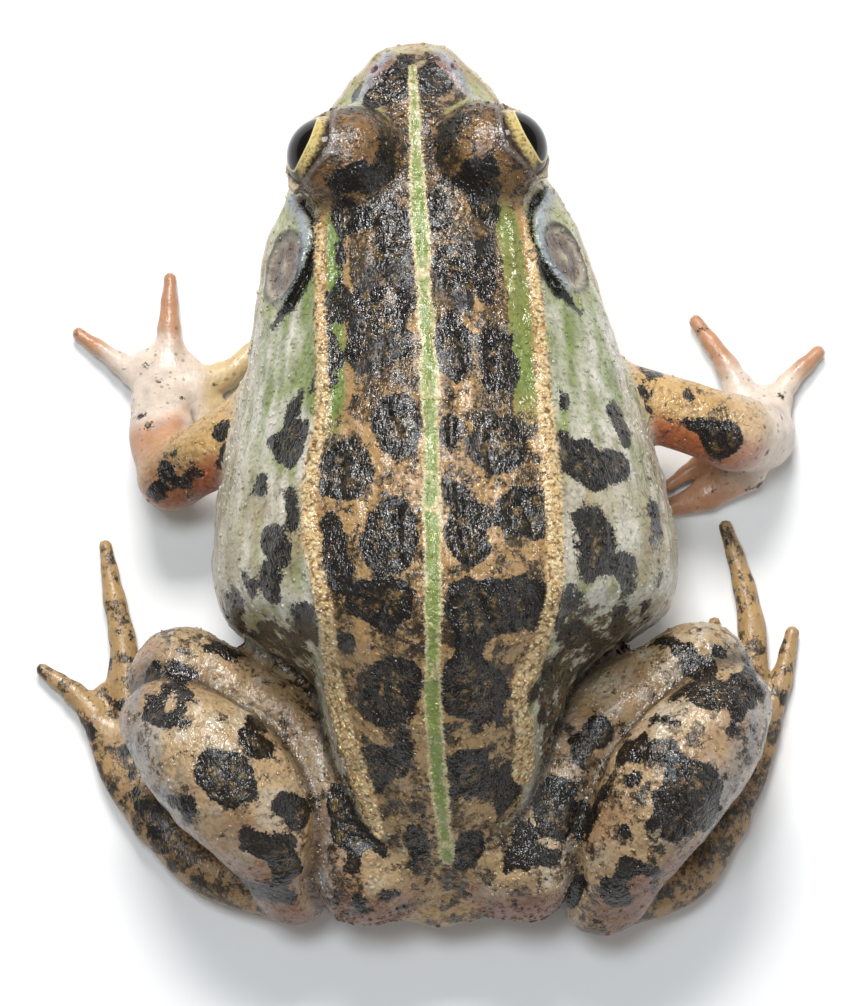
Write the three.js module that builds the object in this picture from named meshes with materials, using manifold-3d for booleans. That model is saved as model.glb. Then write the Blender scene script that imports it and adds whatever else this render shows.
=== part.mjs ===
// A life-size pond frog, crouched with its belly, hands and feet on the ground.
// Millimetres, +Z up, ground at z = 0. The frog faces -Y, and its left side is +X.
import * as THREE from "three";
import { mergeVertices } from "three/addons/utils/BufferGeometryUtils.js";
import Module from "manifold-3d";

const wasm = await Module();
wasm.setup();

// ---- Driving dimensions ----

const SNOUT_Y = -36.2; // tip of the snout
const VENT_Y = 35.4; // hind end of the body
const BODY_LENGTH = VENT_Y - SNOUT_Y;
const NECK_Y = -13.6; // where the head is parted from the trunk
const GAP = 0.3; // parting between two neighbouring pieces
const WELD = 1e-4; // points closer than this are one
const SLIVER = 0.02; // facets thinner than this go into their neighbours

const EYE_CENTRE = [7.1, -25.6, 20.3]; // left eye; the right one mirrors it
const EYE_RADIUS = 3.4;
const LID_CENTRE = [5.1, -25.5, 20.0]; // upper eyelid, a dome over the inner half of the eye
const LID_RADII = [3.5, 4.5, 4.2];

const EARDRUM_CENTRE = [11.3, -17.1, 17.9];
const EARDRUM_RADIUS = 2.9;
const EARDRUM_THICKNESS = 0.9;
const EARDRUM_RISE = THREE.MathUtils.degToRad(34); // tilt of its face above sideways
const EARDRUM_TURN = THREE.MathUtils.degToRad(14); // and towards the snout

const MOUTH_FRONT_Z = 13.3; // height of the mouth slit at the snout
const MOUTH_BACK_Z = 11.6; // and at the neck

// The body's lines, each a list of [y, value] from the snout to the vent.
const BODY_LINES = {
  halfWidth: [
    [SNOUT_Y, 0], [-35.9, 2.6], [-34.6, 4.1], [-31.8, 6.6], [-24.2, 10.7],
    [-20.0, 12.8], [-15.7, 13.9], [-7.2, 15.9], [1.1, 18.3], [6.5, 19.0],
    [10.2, 18.2], [12.6, 15.6], [14.6, 12.4], [16.6, 10.6], [21.0, 9.3],
    [25.5, 8.0], [31.3, 6.4], [VENT_Y, 0],
  ],
  crown: [
    [SNOUT_Y, 14.3], [-35.9, 15.6], [-34.3, 17.4], [-31.0, 19.2], [-25.7, 21.4],
    [-18.0, 23.6], [-8.0, 26.3], [2.0, 28.5], [8.5, 29.3], [14.0, 28.2],
    [18.0, 25.8], [24.0, 20.6], [30.0, 13.8], [33.6, 9.2], [VENT_Y, 6.2],
  ],
  belly: [
    [SNOUT_Y, 14.3], [-35.7, 12.3], [-34.0, 10.7], [-28.0, 8.3], [-20.0, 6.0],
    [-12.0, 3.7], [-4.0, 1.2], [2.0, -0.2], [7.0, -0.5], [23.0, -0.5],
    [28.0, 0.2], [32.0, 2.2], [VENT_Y, 6.2],
  ],
  waist: [
    [SNOUT_Y, 14.3], [-35.5, 13.8], [-28.0, 13.0], [-14.0, 11.4],
    [4.0, 10.4], [20.0, 9.4], [30.0, 7.6], [VENT_Y, 6.2],
  ],
  lean: [
    [SNOUT_Y, 0], [-28.0, 0], [-18.0, -0.3], [-3.0, -1.0], [9.0, -1.1], [24.0, 0], [VENT_Y, 0],
  ],
};
const BACK_ROUNDING = 2.05; // superellipse exponent of a section above its widest height
const BELLY_ROUNDING = 2.5; // and below it

// Fineness of the facets.
const BODY_SIDES = 28;
const BODY_RINGS = 32;
const BALL_SEGMENTS = [16, 10]; // eyes and eyelids, around and from pole to pole
const EARDRUM_SIDES = 18;
const LIMB_FACETS = { sides: 11, rings: 4, capRings: 2 };
const DIGIT_FACETS = { sides: 7, rings: 3, capRings: 2 };

// Limbs. Each station along a piece is [x, y, z, half width, half height].
const ARMS = {
  left: {
    upper_arm: [[9.5, -8.2, 10.0, 3.6, 3.6], [15.8, -5.0, 8.6, 3.1, 3.1], [21.2, -2.5, 6.2, 2.6, 2.7]],
    forearm: [[21.2, -2.6, 6.1, 2.6, 2.6], [21.9, -6.2, 4.3, 2.8, 2.4], [22.2, -9.4, 2.6, 2.4, 1.8]],
    hand: [[22.2, -9.4, 2.5, 2.4, 1.8], [21.6, -12.6, 1.3, 3.2, 1.3]],
    fingers: [
      [[19.9, -10.4, 1.3, 1.1, 1.0], [15.2, -7.8, 0.75, 0.85, 0.85]],
      [[19.4, -11.0, 1.4, 1.5, 1.2], [16.4, -12.1, 1.2, 1.15, 1.05], [12.6, -15.7, 0.8, 0.85, 0.85]],
      [[21.4, -13.0, 1.2, 1.3, 1.1], [21.3, -16.2, 1.0, 0.95, 0.95], [21.1, -20.4, 0.75, 0.8, 0.8]],
      [[23.6, -11.8, 1.2, 1.1, 1.0], [25.6, -13.4, 1.0, 0.9, 0.9], [28.9, -16.0, 0.75, 0.8, 0.8]],
    ],
  },
  right: {
    upper_arm: [[-10.0, -8.6, 10.0, 3.6, 3.6], [-18.6, -6.4, 9.1, 2.9, 2.9], [-25.0, -4.2, 8.2, 3.0, 3.0]],
    forearm: [[-25.2, -4.2, 7.8, 3.0, 3.0], [-26.6, -4.5, 5.4, 3.1, 3.1], [-27.5, -4.7, 3.0, 2.9, 2.9]],
    hand: [[-27.5, -4.7, 2.6, 2.8, 1.9], [-27.3, -7.4, 1.4, 3.0, 1.4]],
    fingers: [
      [[-25.9, -2.5, 1.7, 2.0, 1.6], [-22.8, -0.3, 1.2, 1.35, 1.1], [-18.6, 1.0, 0.85, 0.9, 0.9]],
      [[-25.2, -5.0, 1.4, 1.1, 1.0], [-22.6, -3.0, 1.0, 0.85, 0.85], [-19.8, -1.2, 0.75, 0.75, 0.75]],
      [[-26.6, -8.0, 1.3, 1.3, 1.1], [-25.2, -11.2, 1.0, 0.95, 0.95], [-22.8, -15.1, 0.75, 0.85, 0.85]],
      [[-28.8, -7.4, 1.3, 1.2, 1.0], [-30.3, -9.6, 1.0, 0.9, 0.9], [-32.9, -12.1, 0.75, 0.85, 0.85]],
    ],
  },
};
const LEGS = {
  left: {
    thigh: [
      [6.2, 29.4, 8.0, 6.0, 5.6], [10.6, 22.8, 8.6, 5.4, 4.9],
      [15.4, 17.9, 8.4, 5.2, 4.6], [20.6, 15.2, 8.9, 4.9, 4.5],
    ],
    shank: [
      [21.4, 18.1, 10.6, 4.5, 4.3], [19.4, 20.8, 12.0, 5.1, 4.7], [16.7, 23.5, 12.2, 5.5, 4.8],
      [13.4, 27.5, 10.2, 5.0, 4.4], [12.0, 31.0, 6.6, 3.9, 3.8],
    ],
    tarsus: [[12.5, 31.7, 3.8, 2.7, 2.6], [19.2, 29.5, 2.7, 2.3, 2.0], [23.3, 25.1, 2.1, 2.2, 1.6]],
    foot: [[23.3, 25.1, 2.1, 2.2, 1.6], [25.4, 20.8, 1.4, 2.7, 1.2], [26.0, 17.6, 1.0, 3.0, 0.9]],
    toes: [
      [[23.4, 21.0, 1.0, 0.9, 0.9], [18.7, 18.0, 0.7, 0.7, 0.7]],
      [[23.9, 19.4, 1.0, 1.0, 0.9], [21.4, 16.2, 0.9, 0.85, 0.85], [19.8, 13.6, 0.7, 0.75, 0.75]],
      [[24.6, 18.2, 1.0, 1.1, 1.0], [23.4, 14.0, 0.9, 0.9, 0.9], [22.6, 10.0, 0.75, 0.8, 0.8]],
      [
        [25.6, 17.4, 1.1, 1.2, 1.0], [25.8, 10.8, 1.0, 1.05, 1.0],
        [26.6, 5.9, 0.9, 0.95, 0.9], [27.1, 2.1, 0.75, 0.8, 0.8],
      ],
      [[27.2, 18.2, 1.1, 1.2, 1.0], [29.5, 14.9, 0.9, 1.0, 0.95], [32.6, 12.3, 0.75, 0.8, 0.8]],
    ],
  },
  right: {
    thigh: [
      [-6.4, 29.4, 8.0, 6.2, 5.6], [-11.2, 23.6, 8.6, 5.4, 4.9],
      [-16.2, 19.1, 8.4, 5.3, 4.6], [-21.5, 16.4, 8.9, 5.0, 4.6],
    ],
    shank: [
      [-22.8, 18.6, 10.6, 4.5, 4.3], [-21.1, 21.6, 12.0, 5.0, 4.7], [-18.0, 25.3, 12.2, 5.3, 4.8],
      [-14.9, 29.2, 10.4, 4.8, 4.4], [-12.8, 32.7, 6.6, 4.0, 3.8],
    ],
    tarsus: [[-13.4, 33.3, 3.8, 2.7, 2.6], [-19.7, 31.5, 2.7, 2.3, 2.0], [-23.0, 26.8, 2.1, 2.2, 1.6]],
    foot: [[-23.0, 26.8, 2.1, 2.2, 1.6], [-24.6, 22.2, 1.4, 2.7, 1.2], [-25.4, 18.8, 1.0, 3.0, 0.9]],
    toes: [
      [[-22.8, 22.2, 1.0, 0.9, 0.9], [-19.2, 19.4, 0.7, 0.7, 0.7]],
      [[-23.4, 20.6, 1.0, 1.0, 0.9], [-21.8, 17.2, 0.9, 0.85, 0.85], [-20.8, 14.6, 0.7, 0.75, 0.75]],
      [[-24.3, 19.4, 1.0, 1.1, 1.0], [-23.7, 14.8, 0.9, 0.9, 0.9], [-23.2, 10.5, 0.75, 0.8, 0.8]],
      [
        [-25.4, 18.6, 1.1, 1.2, 1.0], [-26.3, 12.1, 1.0, 1.1, 1.0],
        [-25.6, 6.6, 0.9, 0.95, 0.9], [-24.5, 2.4, 0.75, 0.85, 0.85],
      ],
      [[-26.5, 19.2, 1.1, 1.2, 1.0], [-28.3, 16.0, 0.9, 1.0, 0.95], [-29.6, 11.5, 0.75, 0.85, 0.85]],
    ],
  },
};
const WEB_THICKNESS = 0.7;
const WEB_REACH = 0.45; // how far along the toes the web runs
const WEB_FULLNESS = 0.55; // 1 for a straight edge between two toes, less for a hollow one
const TOE_PARTING = 0.5; // how far along a toe its free end is parted from the foot

// ---- Finishes ----

const finish = (color, roughness) => new THREE.MeshStandardMaterial({ color, roughness, metalness: 0 });
const BACK_SKIN = finish(0x6a6038, 0.35);
const LIP_SKIN = finish(0xd8cfae, 0.4);
const ARM_SKIN = finish(0xb98d58, 0.45);
const LEG_SKIN = finish(0x7c6a48, 0.4);
const EARDRUM_SKIN = finish(0x6b5a4c, 0.4);
const EYE_FINISH = finish(0x1a1712, 0.05);

// ---- Solids ----

/** A closed geometry as a solid that can be joined and cut. */
function solidOf(geometry) {
  const bare = new THREE.BufferGeometry().setAttribute("position", geometry.getAttribute("position"));
  bare.setIndex(geometry.index);
  const merged = mergeVertices(bare, WELD);
  const mesh = new wasm.Mesh({
    numProp: 3,
    vertProperties: merged.attributes.position.array,
    triVerts: new Uint32Array(merged.index.array),
  });
  return new wasm.Manifold(mesh);
}

/** A solid's surface as a geometry. */
function geometryOf(solid) {
  const { vertProperties, triVerts } = solid.getMesh();
  const geometry = new THREE.BufferGeometry();
  geometry.setAttribute("position", new THREE.BufferAttribute(vertProperties, 3));
  geometry.setIndex(new THREE.BufferAttribute(triVerts, 1));
  geometry.computeVertexNormals();
  return geometry;
}

/** The same closed geometry with every point moved outwards by a distance. */
function grown(geometry, distance) {
  const bare = new THREE.BufferGeometry().setAttribute("position", geometry.getAttribute("position"));
  bare.setIndex(geometry.index);
  const merged = mergeVertices(bare, WELD);
  merged.computeVertexNormals();
  const { position, normal } = merged.attributes;
  for (let i = 0; i < position.count; i++) {
    const moved = new THREE.Vector3().fromBufferAttribute(position, i);
    moved.addScaledVector(new THREE.Vector3().fromBufferAttribute(normal, i), distance);
    position.setXYZ(i, moved.x, moved.y, moved.z);
  }
  return merged;
}

/** The part of a solid on the side of a plane that its normal points to, short of it by half the gap. */
function keepSide(solid, point, normal, clearance = GAP / 2) {
  const reach = 3 * BODY_LENGTH;
  const block = new THREE.BoxGeometry(reach, reach, reach);
  block.translate(0, 0, clearance - reach / 2);
  block.applyQuaternion(new THREE.Quaternion().setFromUnitVectors(new THREE.Vector3(0, 0, 1), normal));
  block.translate(point.x, point.y, point.z);
  return solid.subtract(solidOf(block));
}

/** The largest body of a solid, without the crumbs and slivers that a cut can leave. */
function mainBody(solid) {
  const largest = solid.decompose().reduce((a, b) => (a.volume() > b.volume() ? a : b));
  return largest.asOriginal().simplify(SLIVER);
}

/** What stands above the ground: all that reaches lower ends in a flat at z = 0. */
const aboveGround = (solid) => keepSide(solid, new THREE.Vector3(), new THREE.Vector3(0, 0, 1), 0);

/** One part of the frog: its solid, and the room that its neighbours leave it. */
class Piece {
  constructor(geometry) {
    this.solid = solidOf(geometry);
    this.room = solidOf(grown(geometry, GAP));
  }

  /** Takes the room of other pieces out of this one. */
  clear(...others) {
    for (const other of others) this.solid = this.solid.subtract(other.room);
    return this;
  }
}

// ---- Body ----

/** How far along the body a point is, as an angle that opens quickly at the blunt ends. */
const turnAt = (y) => Math.acos(THREE.MathUtils.clamp(1 - (2 * (y - SNOUT_Y)) / BODY_LENGTH, -1, 1));

/** A smooth line through [y, value] points that never swings past them. */
function smoothLine(points) {
  const turns = points.map(([y]) => turnAt(y));
  const values = points.map(([, value]) => value);
  const slopes = points.slice(1).map((_, i) => (values[i + 1] - values[i]) / (turns[i + 1] - turns[i]));
  const tangents = values.map((_, i) => {
    if (i === 0) return slopes[0];
    if (i === slopes.length) return slopes[i - 1];
    const [before, after] = [slopes[i - 1], slopes[i]];
    return before * after <= 0 ? 0 : (2 * before * after) / (before + after);
  });
  return (turn) => {
    let i = 0;
    while (i < slopes.length - 1 && turn > turns[i + 1]) i++;
    const span = turns[i + 1] - turns[i];
    const t = (turn - turns[i]) / span;
    const rise = t * t * (3 - 2 * t);
    return (
      values[i] * (1 - rise) +
      values[i + 1] * rise +
      span * t * (1 - t) * ((1 - t) * tangents[i] - t * tangents[i + 1])
    );
  };
}

/** Head and trunk in one: a sphere whose rings become the body's cross sections. */
function bodyGeometry() {
  const lines = {};
  for (const [name, points] of Object.entries(BODY_LINES)) lines[name] = smoothLine(points);
  const geometry = new THREE.SphereGeometry(1, BODY_SIDES, BODY_RINGS);
  const position = geometry.attributes.position;
  const power = (value, rounding) => Math.sign(value) * Math.abs(value) ** (2 / rounding);
  for (let i = 0; i < position.count; i++) {
    const [side, along, up] = [-position.getX(i), position.getY(i), position.getZ(i)];
    const turn = Math.acos(THREE.MathUtils.clamp(along, -1, 1));
    const ring = Math.hypot(side, up);
    const [cos, sin] = ring > WELD ? [side / ring, up / ring] : [0, 0];
    const rounding = sin > 0 ? BACK_ROUNDING : BELLY_ROUNDING;
    const waist = lines.waist(turn);
    const edge = sin > 0 ? lines.crown(turn) : lines.belly(turn);
    position.setXYZ(
      i,
      lines.lean(turn) + lines.halfWidth(turn) * power(cos, rounding),
      SNOUT_Y + (BODY_LENGTH * (1 - along)) / 2,
      waist + Math.abs(power(sin, rounding)) * (edge - waist),
    );
  }
  return geometry;
}

// ---- Limbs ----

const pointOf = ([x, y, z]) => new THREE.Vector3(x, y, z);

/** A round-ended limb, bent smoothly through its stations. */
function limbGeometry(stations, { sides, rings, capRings }) {
  const path = new THREE.CatmullRomCurve3(stations.map(pointOf));
  const girths = stations.map(([, , , width, height]) => new THREE.Vector3(width, height, 0));
  const girth = new THREE.CatmullRomCurve3(girths);
  const geometry = new THREE.CapsuleGeometry(1, 1, capRings, sides, rings);
  const position = geometry.attributes.position;
  const vertical = new THREE.Vector3(0, 0, 1);
  for (let i = 0; i < position.count; i++) {
    const [across, along, up] = [position.getX(i), position.getY(i), position.getZ(i)];
    const onPath = THREE.MathUtils.clamp(along, -0.5, 0.5);
    const t = onPath + 0.5;
    const forward = path.getTangent(t);
    const side = new THREE.Vector3().crossVectors(forward, vertical).normalize();
    const top = new THREE.Vector3().crossVectors(side, forward);
    const { x: width, y: height } = girth.getPoint(t);
    const place = path.getPoint(t);
    place.addScaledVector(side, across * width);
    place.addScaledVector(top, up * height);
    place.addScaledVector(forward, ((along - onPath) * (width + height)) / 2);
    position.setXYZ(i, place.x, place.y, place.z);
  }
  return geometry;
}

/** Parts two pieces of a limb by the plane that halves the angle between them at their joint. */
function partAtJoint(first, firstStations, second, secondStations) {
  const joint = pointOf(secondStations[0]);
  const back = pointOf(firstStations.at(-2)).sub(joint).normalize();
  const onward = pointOf(secondStations[1]).sub(joint).normalize();
  const normal = back.sub(onward).normalize();
  first.solid = keepSide(first.solid, joint, normal);
  second.solid = keepSide(second.solid, joint, normal.clone().negate());
}

/** Parts a thigh from the shank folded against it, by the plane midway between them. */
function partAlongFold(thigh, thighStations, shank, shankStations) {
  const middleOf = (stations) => {
    const total = new THREE.Vector3();
    for (const station of stations) total.add(pointOf(station));
    return total.divideScalar(stations.length);
  };
  const [inner, outer] = [middleOf(thighStations), middleOf(shankStations)];
  const along = pointOf(thighStations.at(-1)).sub(pointOf(thighStations[0])).normalize();
  const normal = outer.clone().sub(inner).projectOnPlane(along).normalize();
  const middle = inner.lerp(outer, 0.5);
  thigh.solid = keepSide(thigh.solid, middle, normal.clone().negate());
  shank.solid = keepSide(shank.solid, middle, normal);
}

/** Pieces of one limb from its stations, parted where they meet. */
function limbPieces(chain) {
  const pieces = chain.map((stations) => new Piece(limbGeometry(stations, LIMB_FACETS)));
  for (let i = 1; i < chain.length; i++) partAtJoint(pieces[i - 1], chain[i - 1], pieces[i], chain[i]);
  return pieces;
}

/** Fingers or toes, each clear of the one before it. */
function digitPieces(digits) {
  const pieces = digits.map((stations) => new Piece(limbGeometry(stations, DIGIT_FACETS)));
  for (let i = 1; i < pieces.length; i++) pieces[i].clear(pieces[i - 1]);
  return pieces;
}

/** The web, a thin plate between neighbouring toes that stops part of the way along them. */
function webGeometry(toes) {
  const paths = toes.map((stations) => new THREE.CatmullRomCurve3(stations.map(pointOf)));
  const roots = paths.map((path) => path.getPoint(0));
  const ends = paths.map((path) => path.getPoint(WEB_REACH));
  const outline = new THREE.Shape();
  outline.moveTo(roots[0].x, roots[0].y);
  outline.lineTo(ends[0].x, ends[0].y);
  for (let i = 1; i < ends.length; i++) {
    const hollow = roots[i - 1].clone().lerp(roots[i], 0.5);
    hollow.lerp(ends[i - 1].clone().lerp(ends[i], 0.5), WEB_FULLNESS);
    outline.quadraticCurveTo(hollow.x, hollow.y, ends[i].x, ends[i].y);
  }
  for (const root of roots.toReversed()) outline.lineTo(root.x, root.y);
  const plate = { depth: WEB_THICKNESS, bevelEnabled: false, curveSegments: 4 };
  return new THREE.ExtrudeGeometry(outline, plate);
}

// ---- Assembly ----

const frog = new THREE.Group();
frog.name = "frog";

/** Adds a solid to the frog as a named mesh, cut level with the ground. */
function add(name, solid, material) {
  const mesh = new THREE.Mesh(geometryOf(mainBody(aboveGround(solid))), material);
  mesh.name = name;
  frog.add(mesh);
}

const mirrored = ([x, y, z], sign) => new THREE.Vector3(sign * x, y, z);
const SIDES = { left: 1, right: -1 };
const body = new Piece(bodyGeometry());

/** Head, lower jaw and trunk from the one body, with the sockets of the eyes and eardrums. */
function addBody(eyes, eardrums) {
  const neck = new THREE.Vector3(0, NECK_Y, MOUTH_BACK_Z);
  const forward = new THREE.Vector3(0, -1, 0);
  const alongMouth = new THREE.Vector3(0, SNOUT_Y - NECK_Y, MOUTH_FRONT_Z - MOUTH_BACK_Z);
  const aboveMouth = new THREE.Vector3(1, 0, 0).cross(alongMouth).normalize().negate();
  let skull = body.solid;
  for (const sign of Object.values(SIDES)) {
    const lid = new THREE.SphereGeometry(1, ...BALL_SEGMENTS).scale(...LID_RADII);
    lid.translate(...mirrored(LID_CENTRE, sign));
    skull = skull.add(solidOf(lid));
  }
  const front = keepSide(skull, neck, forward);
  const head = new Piece(bodyGeometry());
  head.solid = keepSide(front, neck, aboveMouth);
  head.clear(...eyes, ...eardrums);
  add("head", head.solid, BACK_SKIN);
  add("lower_jaw", keepSide(front, neck, aboveMouth.clone().negate()), LIP_SKIN);
  add("trunk", keepSide(body.solid, neck, forward.clone().negate()), BACK_SKIN);
}

function eyePiece(sign) {
  const ball = new THREE.SphereGeometry(EYE_RADIUS, ...BALL_SEGMENTS);
  ball.translate(...mirrored(EYE_CENTRE, sign));
  return new Piece(ball);
}

function eardrumPiece(sign) {
  const size = [EARDRUM_RADIUS, EARDRUM_RADIUS, EARDRUM_THICKNESS];
  const disc = new THREE.CylinderGeometry(...size, EARDRUM_SIDES);
  const outward = new THREE.Vector3(sign, 0, 0);
  outward.applyAxisAngle(new THREE.Vector3(0, 0, -sign), EARDRUM_TURN);
  outward.multiplyScalar(Math.cos(EARDRUM_RISE)).setZ(Math.sin(EARDRUM_RISE));
  disc.applyQuaternion(new THREE.Quaternion().setFromUnitVectors(new THREE.Vector3(0, 1, 0), outward));
  disc.translate(...mirrored(EARDRUM_CENTRE, sign));
  return new Piece(disc);
}

function addArm(side, { upper_arm, forearm, hand, fingers }) {
  const [upper, fore, palm] = limbPieces([upper_arm, forearm, hand]);
  upper.clear(body);
  const digits = digitPieces(fingers);
  for (const finger of digits) finger.clear(palm, upper, fore, body);
  add(`upper_arm_${side}`, upper.solid, ARM_SKIN);
  add(`forearm_${side}`, fore.clear(body).solid, ARM_SKIN);
  add(`hand_${side}`, palm.clear(body).solid, ARM_SKIN);
  digits.forEach((finger, i) => add(`finger_${i + 1}_${side}`, finger.solid, ARM_SKIN));
}

/** The foot's sole joined by the web to the webbed part of each toe. The toes keep their free ends. */
function joinWebbedToes(sole, toes, digits) {
  sole.solid = sole.solid.add(solidOf(webGeometry(toes)));
  toes.forEach((stations, i) => {
    const path = new THREE.CatmullRomCurve3(stations.map(pointOf));
    const [edge, onward] = [path.getPoint(TOE_PARTING), path.getTangent(TOE_PARTING)];
    const whole = digits[i].solid;
    sole.solid = sole.solid.add(keepSide(whole, edge, onward.clone().negate()));
    digits[i].solid = keepSide(whole, edge, onward);
  });
}

function addLeg(side, { thigh, shank, tarsus, foot, toes }) {
  const [upper] = limbPieces([thigh]);
  const [lower, ankle, sole] = limbPieces([shank, tarsus, foot]);
  partAlongFold(upper, thigh, lower, shank);
  const digits = digitPieces(toes);
  joinWebbedToes(sole, toes, digits);
  add(`thigh_${side}`, upper.clear(body, ankle).solid, LEG_SKIN);
  add(`shank_${side}`, lower.clear(body).solid, LEG_SKIN);
  add(`tarsus_${side}`, ankle.clear(body).solid, LEG_SKIN);
  add(`foot_${side}`, sole.clear(lower, upper, ankle).solid, LEG_SKIN);
  digits.forEach((toe, i) => add(`toe_${i + 1}_${side}`, toe.solid, LEG_SKIN));
}

const eyes = Object.values(SIDES).map(eyePiece);
const eardrums = Object.values(SIDES).map(eardrumPiece);
addBody(eyes, eardrums);
Object.keys(SIDES).forEach((side, i) => {
  add(`eye_${side}`, eyes[i].solid, EYE_FINISH);
  add(`eardrum_${side}`, eardrums[i].solid, EARDRUM_SKIN);
  addArm(side, ARMS[side]);
  addLeg(side, LEGS[side]);
});

export default frog;
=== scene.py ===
"""A life-size pond frog, crouched on the ground: one moist skin over the whole body, and two eyes set in it.

Shapes are worked out in millimetres in the model's own frame (the frog faces -Y, its left side is +X, and the
ground is z = 0) and turned into metres when a mesh is made. The skin starts as distances on a lattice, where the
body, the limbs and the features of the head are blended like clay, and its surface is then meshed and marked.
"""

import logging
import math
from dataclasses import dataclass, field
from enum import Enum
from itertools import product

import bpy
import numpy as np
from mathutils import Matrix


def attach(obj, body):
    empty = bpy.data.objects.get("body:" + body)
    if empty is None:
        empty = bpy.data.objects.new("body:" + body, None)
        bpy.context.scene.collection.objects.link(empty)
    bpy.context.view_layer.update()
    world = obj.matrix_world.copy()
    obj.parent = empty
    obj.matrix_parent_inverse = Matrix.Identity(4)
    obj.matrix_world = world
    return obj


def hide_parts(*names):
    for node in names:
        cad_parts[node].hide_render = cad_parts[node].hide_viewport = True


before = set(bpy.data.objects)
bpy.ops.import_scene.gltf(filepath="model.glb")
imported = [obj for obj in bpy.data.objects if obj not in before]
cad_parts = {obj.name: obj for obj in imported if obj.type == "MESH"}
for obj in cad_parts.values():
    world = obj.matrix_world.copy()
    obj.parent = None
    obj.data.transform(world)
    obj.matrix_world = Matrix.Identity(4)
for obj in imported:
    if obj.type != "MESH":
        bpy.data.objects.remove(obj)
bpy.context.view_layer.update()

import openvdb as vdb
from mathutils import Matrix, Vector

Array = np.ndarray
Colour = tuple[float, float, float]
LOG = logging.getLogger("frog")

MM = 0.001  # metres in a millimetre
VOXEL = 0.22  # spacing of the lattice, mm
BAND = 2.9  # distances are true up to this far from a surface, mm
SKIN_TRIANGLES = 196_000
FAR = 9.0  # stands for any distance beyond the reach of a marking, mm
UP = np.array([0.0, 0.0, 1.0])


class Side(Enum):
    """A side of the frog, with the sign of its X."""

    LEFT = 1
    RIGHT = -1

    @property
    def word(self) -> str:
        """The side's name as it ends a node's name."""
        return self.name.lower()


class Zone(Enum):
    """A region of the skin with markings of its own."""

    BODY = "body"
    ARM = "arm"
    HAND = "hand"
    THIGH = "thigh"
    SHANK = "shank"
    FOOT = "foot"


# ---- Arithmetic ----


def tone(red: int, green: int, blue: int) -> Colour:
    """A colour given as 0-255 display values, as linear light."""
    shares = (value / 255 for value in (red, green, blue))
    return tuple(v / 12.92 if v <= 0.04045 else ((v + 0.055) / 1.055) ** 2.4 for v in shares)


def unit(vector: Array) -> Array:
    """The same direction with length one."""
    vector = np.asarray(vector, float)
    return vector / np.linalg.norm(vector, axis=-1, keepdims=True)


def ramp(value: Array, start: float, end: float) -> Array:
    """Rises smoothly from 0 at start to 1 at end; start may be the larger."""
    t = np.clip((value - start) / (end - start), 0, 1)
    return t * t * (3 - 2 * t)


def bell(distance: Array, width: float) -> Array:
    """1 at no distance, falling smoothly to nothing over about twice the width."""
    return np.exp(-((distance / width) ** 2))


def blend_min(a: Array, b: Array, reach: Array | float) -> Array:
    """The smaller of two distances, rounded where they differ by less than reach."""
    gap = np.maximum(reach - np.abs(a - b), 0) / reach
    return np.minimum(a, b) - gap * gap * reach / 4


def blend_max(a: Array, b: Array, reach: Array | float) -> Array:
    """The larger of two distances, rounded where they differ by less than reach."""
    return -blend_min(-a, -b, reach)


def mix(a: Array | Colour, b: Array | Colour, share: Array) -> Array:
    """One colour, or each of many, turned into another by a share from 0 to 1 for each place."""
    return a + np.subtract(b, a) * np.asarray(share)[..., None]


def noise(points: Array, wavelength: float | Array, seed: int) -> Array:
    """Smooth random values from -1 to 1 in space.

    Args:
        points: N x 3 places in mm.
        wavelength: Size of the patches in mm, one number or one for each axis.
        seed: Picks the pattern.

    Returns:
        N values.
    """
    scaled = points / np.asarray(wavelength, float)
    cell = np.floor(scaled).astype(np.int64)
    part = scaled - cell
    part = part * part * (3 - 2 * part)
    total = np.zeros(len(points))
    for corner in product((0, 1), repeat=3):
        at = cell + corner
        mixed = at[:, 0] * 374761393 + at[:, 1] * 668265263 + at[:, 2] * 1440662683 + seed * 97531
        mixed = (mixed ^ (mixed >> 13)) * 1274126177 & 0x7FFFFFFFFFFF
        mixed = (mixed ^ (mixed >> 16)) & 0xFFFF
        share = np.prod(np.where(corner, part, 1 - part), axis=1)
        total += share * (mixed / 32767.5 - 1)
    return total


def path_distance(x: Array, y: Array, z: Array, path: list) -> tuple[Array, Array]:
    """How far places are from a bent line.

    Args:
        x, y, z: Coordinates in mm, in any shapes that broadcast together.
        path: Points of the line.

    Returns:
        Distance in mm, and share of the line's points passed, from 0 to 1.
    """
    path = np.asarray(path, float)
    best, along = math.inf, 0.0
    for i, (start, end) in enumerate(zip(path[:-1], path[1:])):
        step = end - start
        dx, dy, dz = x - start[0], y - start[1], z - start[2]
        t = np.clip((dx * step[0] + dy * step[1] + dz * step[2]) / (step @ step), 0, 1)
        gap = np.sqrt((dx - t * step[0]) ** 2 + (dy - t * step[1]) ** 2 + (dz - t * step[2]) ** 2)
        along = np.where(gap < best, (i + t) / (len(path) - 1), along)
        best = np.minimum(best, gap)
    return best, along


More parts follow.
